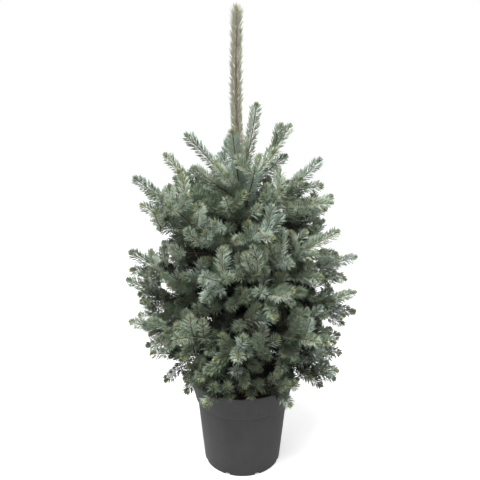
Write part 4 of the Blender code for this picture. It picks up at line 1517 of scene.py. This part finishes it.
# %% The tree that scatters crumbs
CRUMB_SEED = 2
CRUMB_TURN_SEED = 5
CRUMB_SIZE_SEED = 6
CRUMB_SHAPE = (1.0, 1.0, 0.7)
crumb_tree, sizes, result = new_tree("crumbs on soil", (
    ("Crumb", "Object", None),
    ("Crumbs per Square Metre", "Float", 60000.0),
    ("Smallest", "Float", 0.8 * MM),
    ("Largest", "Float", 3.2 * MM),
    ("Level", "Float", soil_edge - MM),
    ("Edge", "Float", edge_radius - 3 * MM),
    ("Seed", "Int", CRUMB_SEED),
    ("Peat", "Material", None),
))
tree = crumb_tree
place = add(tree, "GeometryNodeInputPosition")
parts = add(tree, "ShaderNodeSeparateXYZ", {0: place})
high = add(tree, "FunctionNodeCompare", {0: parts.outputs["Z"], 1: sizes["Level"]}, operation="GREATER_THAN")
spots = add(tree, "GeometryNodeDistributePointsOnFaces", {
    0: sizes["Geometry"], "Selection": high, "Seed": sizes["Seed"],
    "Density": sizes["Crumbs per Square Metre"],
})
turns = {0: (0.0,) * 3, 1: (FULL_TURN,) * 3, "Seed": CRUMB_TURN_SEED}
turned = add(tree, CHANCE, turns, data_type="FLOAT_VECTOR")
least = add(tree, VECTORS, {0: CRUMB_SHAPE, "Scale": sizes["Smallest"]}, operation="SCALE")
most = add(tree, VECTORS, {0: CRUMB_SHAPE, "Scale": sizes["Largest"]}, operation="SCALE")
size = add(tree, CHANCE, {0: least, 1: most, "Seed": CRUMB_SIZE_SEED}, data_type="FLOAT_VECTOR")
spin = add(tree, "FunctionNodeEulerToRotation", {0: turned})
shape = add(tree, "GeometryNodeObjectInfo", {0: sizes["Crumb"]})
litter = add(tree, "GeometryNodeInstanceOnPoints", {
    0: spots, "Instance": shape.outputs["Geometry"], "Rotation": spin, "Scale": size,
})
finish_tree(tree, litter, sizes["Peat"], result)

# %% Crumbs on the soil
CRUMB_CORE = 0.8
CRUMB_KNOBS = 0.4
KNOB_TURN = 5.0
build = bmesh.new()
bmesh.ops.create_icosphere(build, subdivisions=1, radius=0.5)
for number, vertex in enumerate(build.verts):
    vertex.co *= CRUMB_CORE + CRUMB_KNOBS * math.sin(KNOB_TURN * number) ** 2
crumb = new_object("crumb", built_mesh("crumb", build))
crumbs = run_tree(crumb_tree, "peat_crumbs", soil.data.copy(), {"Crumb": crumb, "Peat": peat})
bpy.data.objects.remove(crumb)
print("soil and crumb triangles:", triangles(soil), triangles(crumbs))

# %% [markdown]
# ## Everything rides on the pot
#
# The tree has no joints, so all pieces ride on the one body.

# %% Bodies
for piece, slot in (
    (pot, "pot_plastic"), (soil, "peat_soil"), (crumbs, "peat_soil"),
    (trunk, "spruce_bark"), (limbs, "spruce_bark"), (twigs, "spruce_bark"), (buds, "spruce_bark"),
    *((piece, "spruce_needles") for piece in needle_pieces),
):
    for label in (*PLACE_MEASURES, *OWN_MEASURES, "across", "finish"):
        if label in piece.data.attributes:
            piece.data.attributes.remove(piece.data.attributes[label])
    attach(piece, "root")

# %% [markdown]
# ## Floor, light and camera
#
# Foliage needs soft light from all round, or its thousands of small shadows turn into noise. So a bright
# sky lights it, with one large lamp high in front for form and a smaller one low at the right. A white
# floor under such a tree throws light back into the shade under the boughs and washes it out. So a Light
# Path node makes the floor pale to the camera and dark to the tree, and lets the camera see a brighter sky
# than the tree does.

# %% Floor
FLOOR_SIZE = 40.0
FLOOR_FOR_TREE = 0.22
FLOOR_FOR_CAMERA = 0.97
FLOOR_GLOW = 0.38
WHITE = (1.0, 1.0, 1.0, 1.0)
build = bmesh.new()
bmesh.ops.create_grid(build, x_segments=1, y_segments=1, size=FLOOR_SIZE / 2)
floor = new_object("floor", built_mesh("floor", build))
paint = new_material("matt white studio floor", Roughness=0.9, Emission_Color=WHITE)
tree = paint.node_tree
to_camera = add(tree, "ShaderNodeLightPath").outputs["Is Camera Ray"]
shade = add(tree, SPREAD, {0: to_camera, "To Min": FLOOR_FOR_TREE, "To Max": FLOOR_FOR_CAMERA})
glow = add(tree, MATHS, {0: to_camera, 1: FLOOR_GLOW}, operation="MULTIPLY")
feed(tree, tree.nodes[PRINCIPLED], {"Base Color": shade, "Emission Strength": glow})
floor.data.materials.append(paint)

# %% Sky and lamps
SKY_FOR_TREE = 0.74
SKY_FOR_CAMERA = 1.0
LIT_POINT = np.array((0.0, 0.0, 0.5))
LAMPS = (
    ("key lamp", (-0.45, -0.85, 2.5), 1.6, 145.0),
    ("fill lamp", (1.9, -1.1, 0.60), 0.9, 46.0),
)
world = bpy.data.worlds.new("studio")
world.use_nodes = True
tree = world.node_tree
to_camera = add(tree, "ShaderNodeLightPath").outputs["Is Camera Ray"]
glow = add(tree, SPREAD, {0: to_camera, "To Min": SKY_FOR_TREE, "To Max": SKY_FOR_CAMERA})
feed(tree, tree.nodes["Background"], {"Color": WHITE, "Strength": glow})
bpy.context.scene.world = world
for name, place, size, power in LAMPS:
    lamp = bpy.data.lights.new(name, "AREA")
    lamp.size = size
    lamp.energy = power
    holder = new_object(name, lamp)
    holder.location = place
    x, y, z = LIT_POINT - np.array(place)
    holder.rotation_euler = (math.acos(-z / math.hypot(x, y, z)), 0.0, math.atan2(x, -y))
bpy.context.scene.view_settings.view_transform = "Standard"
print("lamps:", len(LAMPS))

# %% [markdown]
# ## Camera
#
# The camera stands 1.1 m in front at the height of the leader and looks down by about 16 degrees. From
# there the pot's rim is a flat ellipse, and the leader stands out against the background.

# %% Camera
CAMERA_PLACE = (-0.0051, -1.105, 0.833)
CAMERA_PITCH = 16.42
FOCAL_PIXELS = 562.6
FRAME_PIXELS = 480
SENSOR_WIDTH = 36.0
camera = bpy.data.cameras.new("camera")
camera.sensor_width = SENSOR_WIDTH
camera.lens = FOCAL_PIXELS / FRAME_PIXELS * camera.sensor_width
holder = new_object("camera", camera)
holder.location = CAMERA_PLACE
holder.rotation_euler = (math.radians(90 - CAMERA_PITCH), 0.0, 0.0)
bpy.context.scene.camera = holder
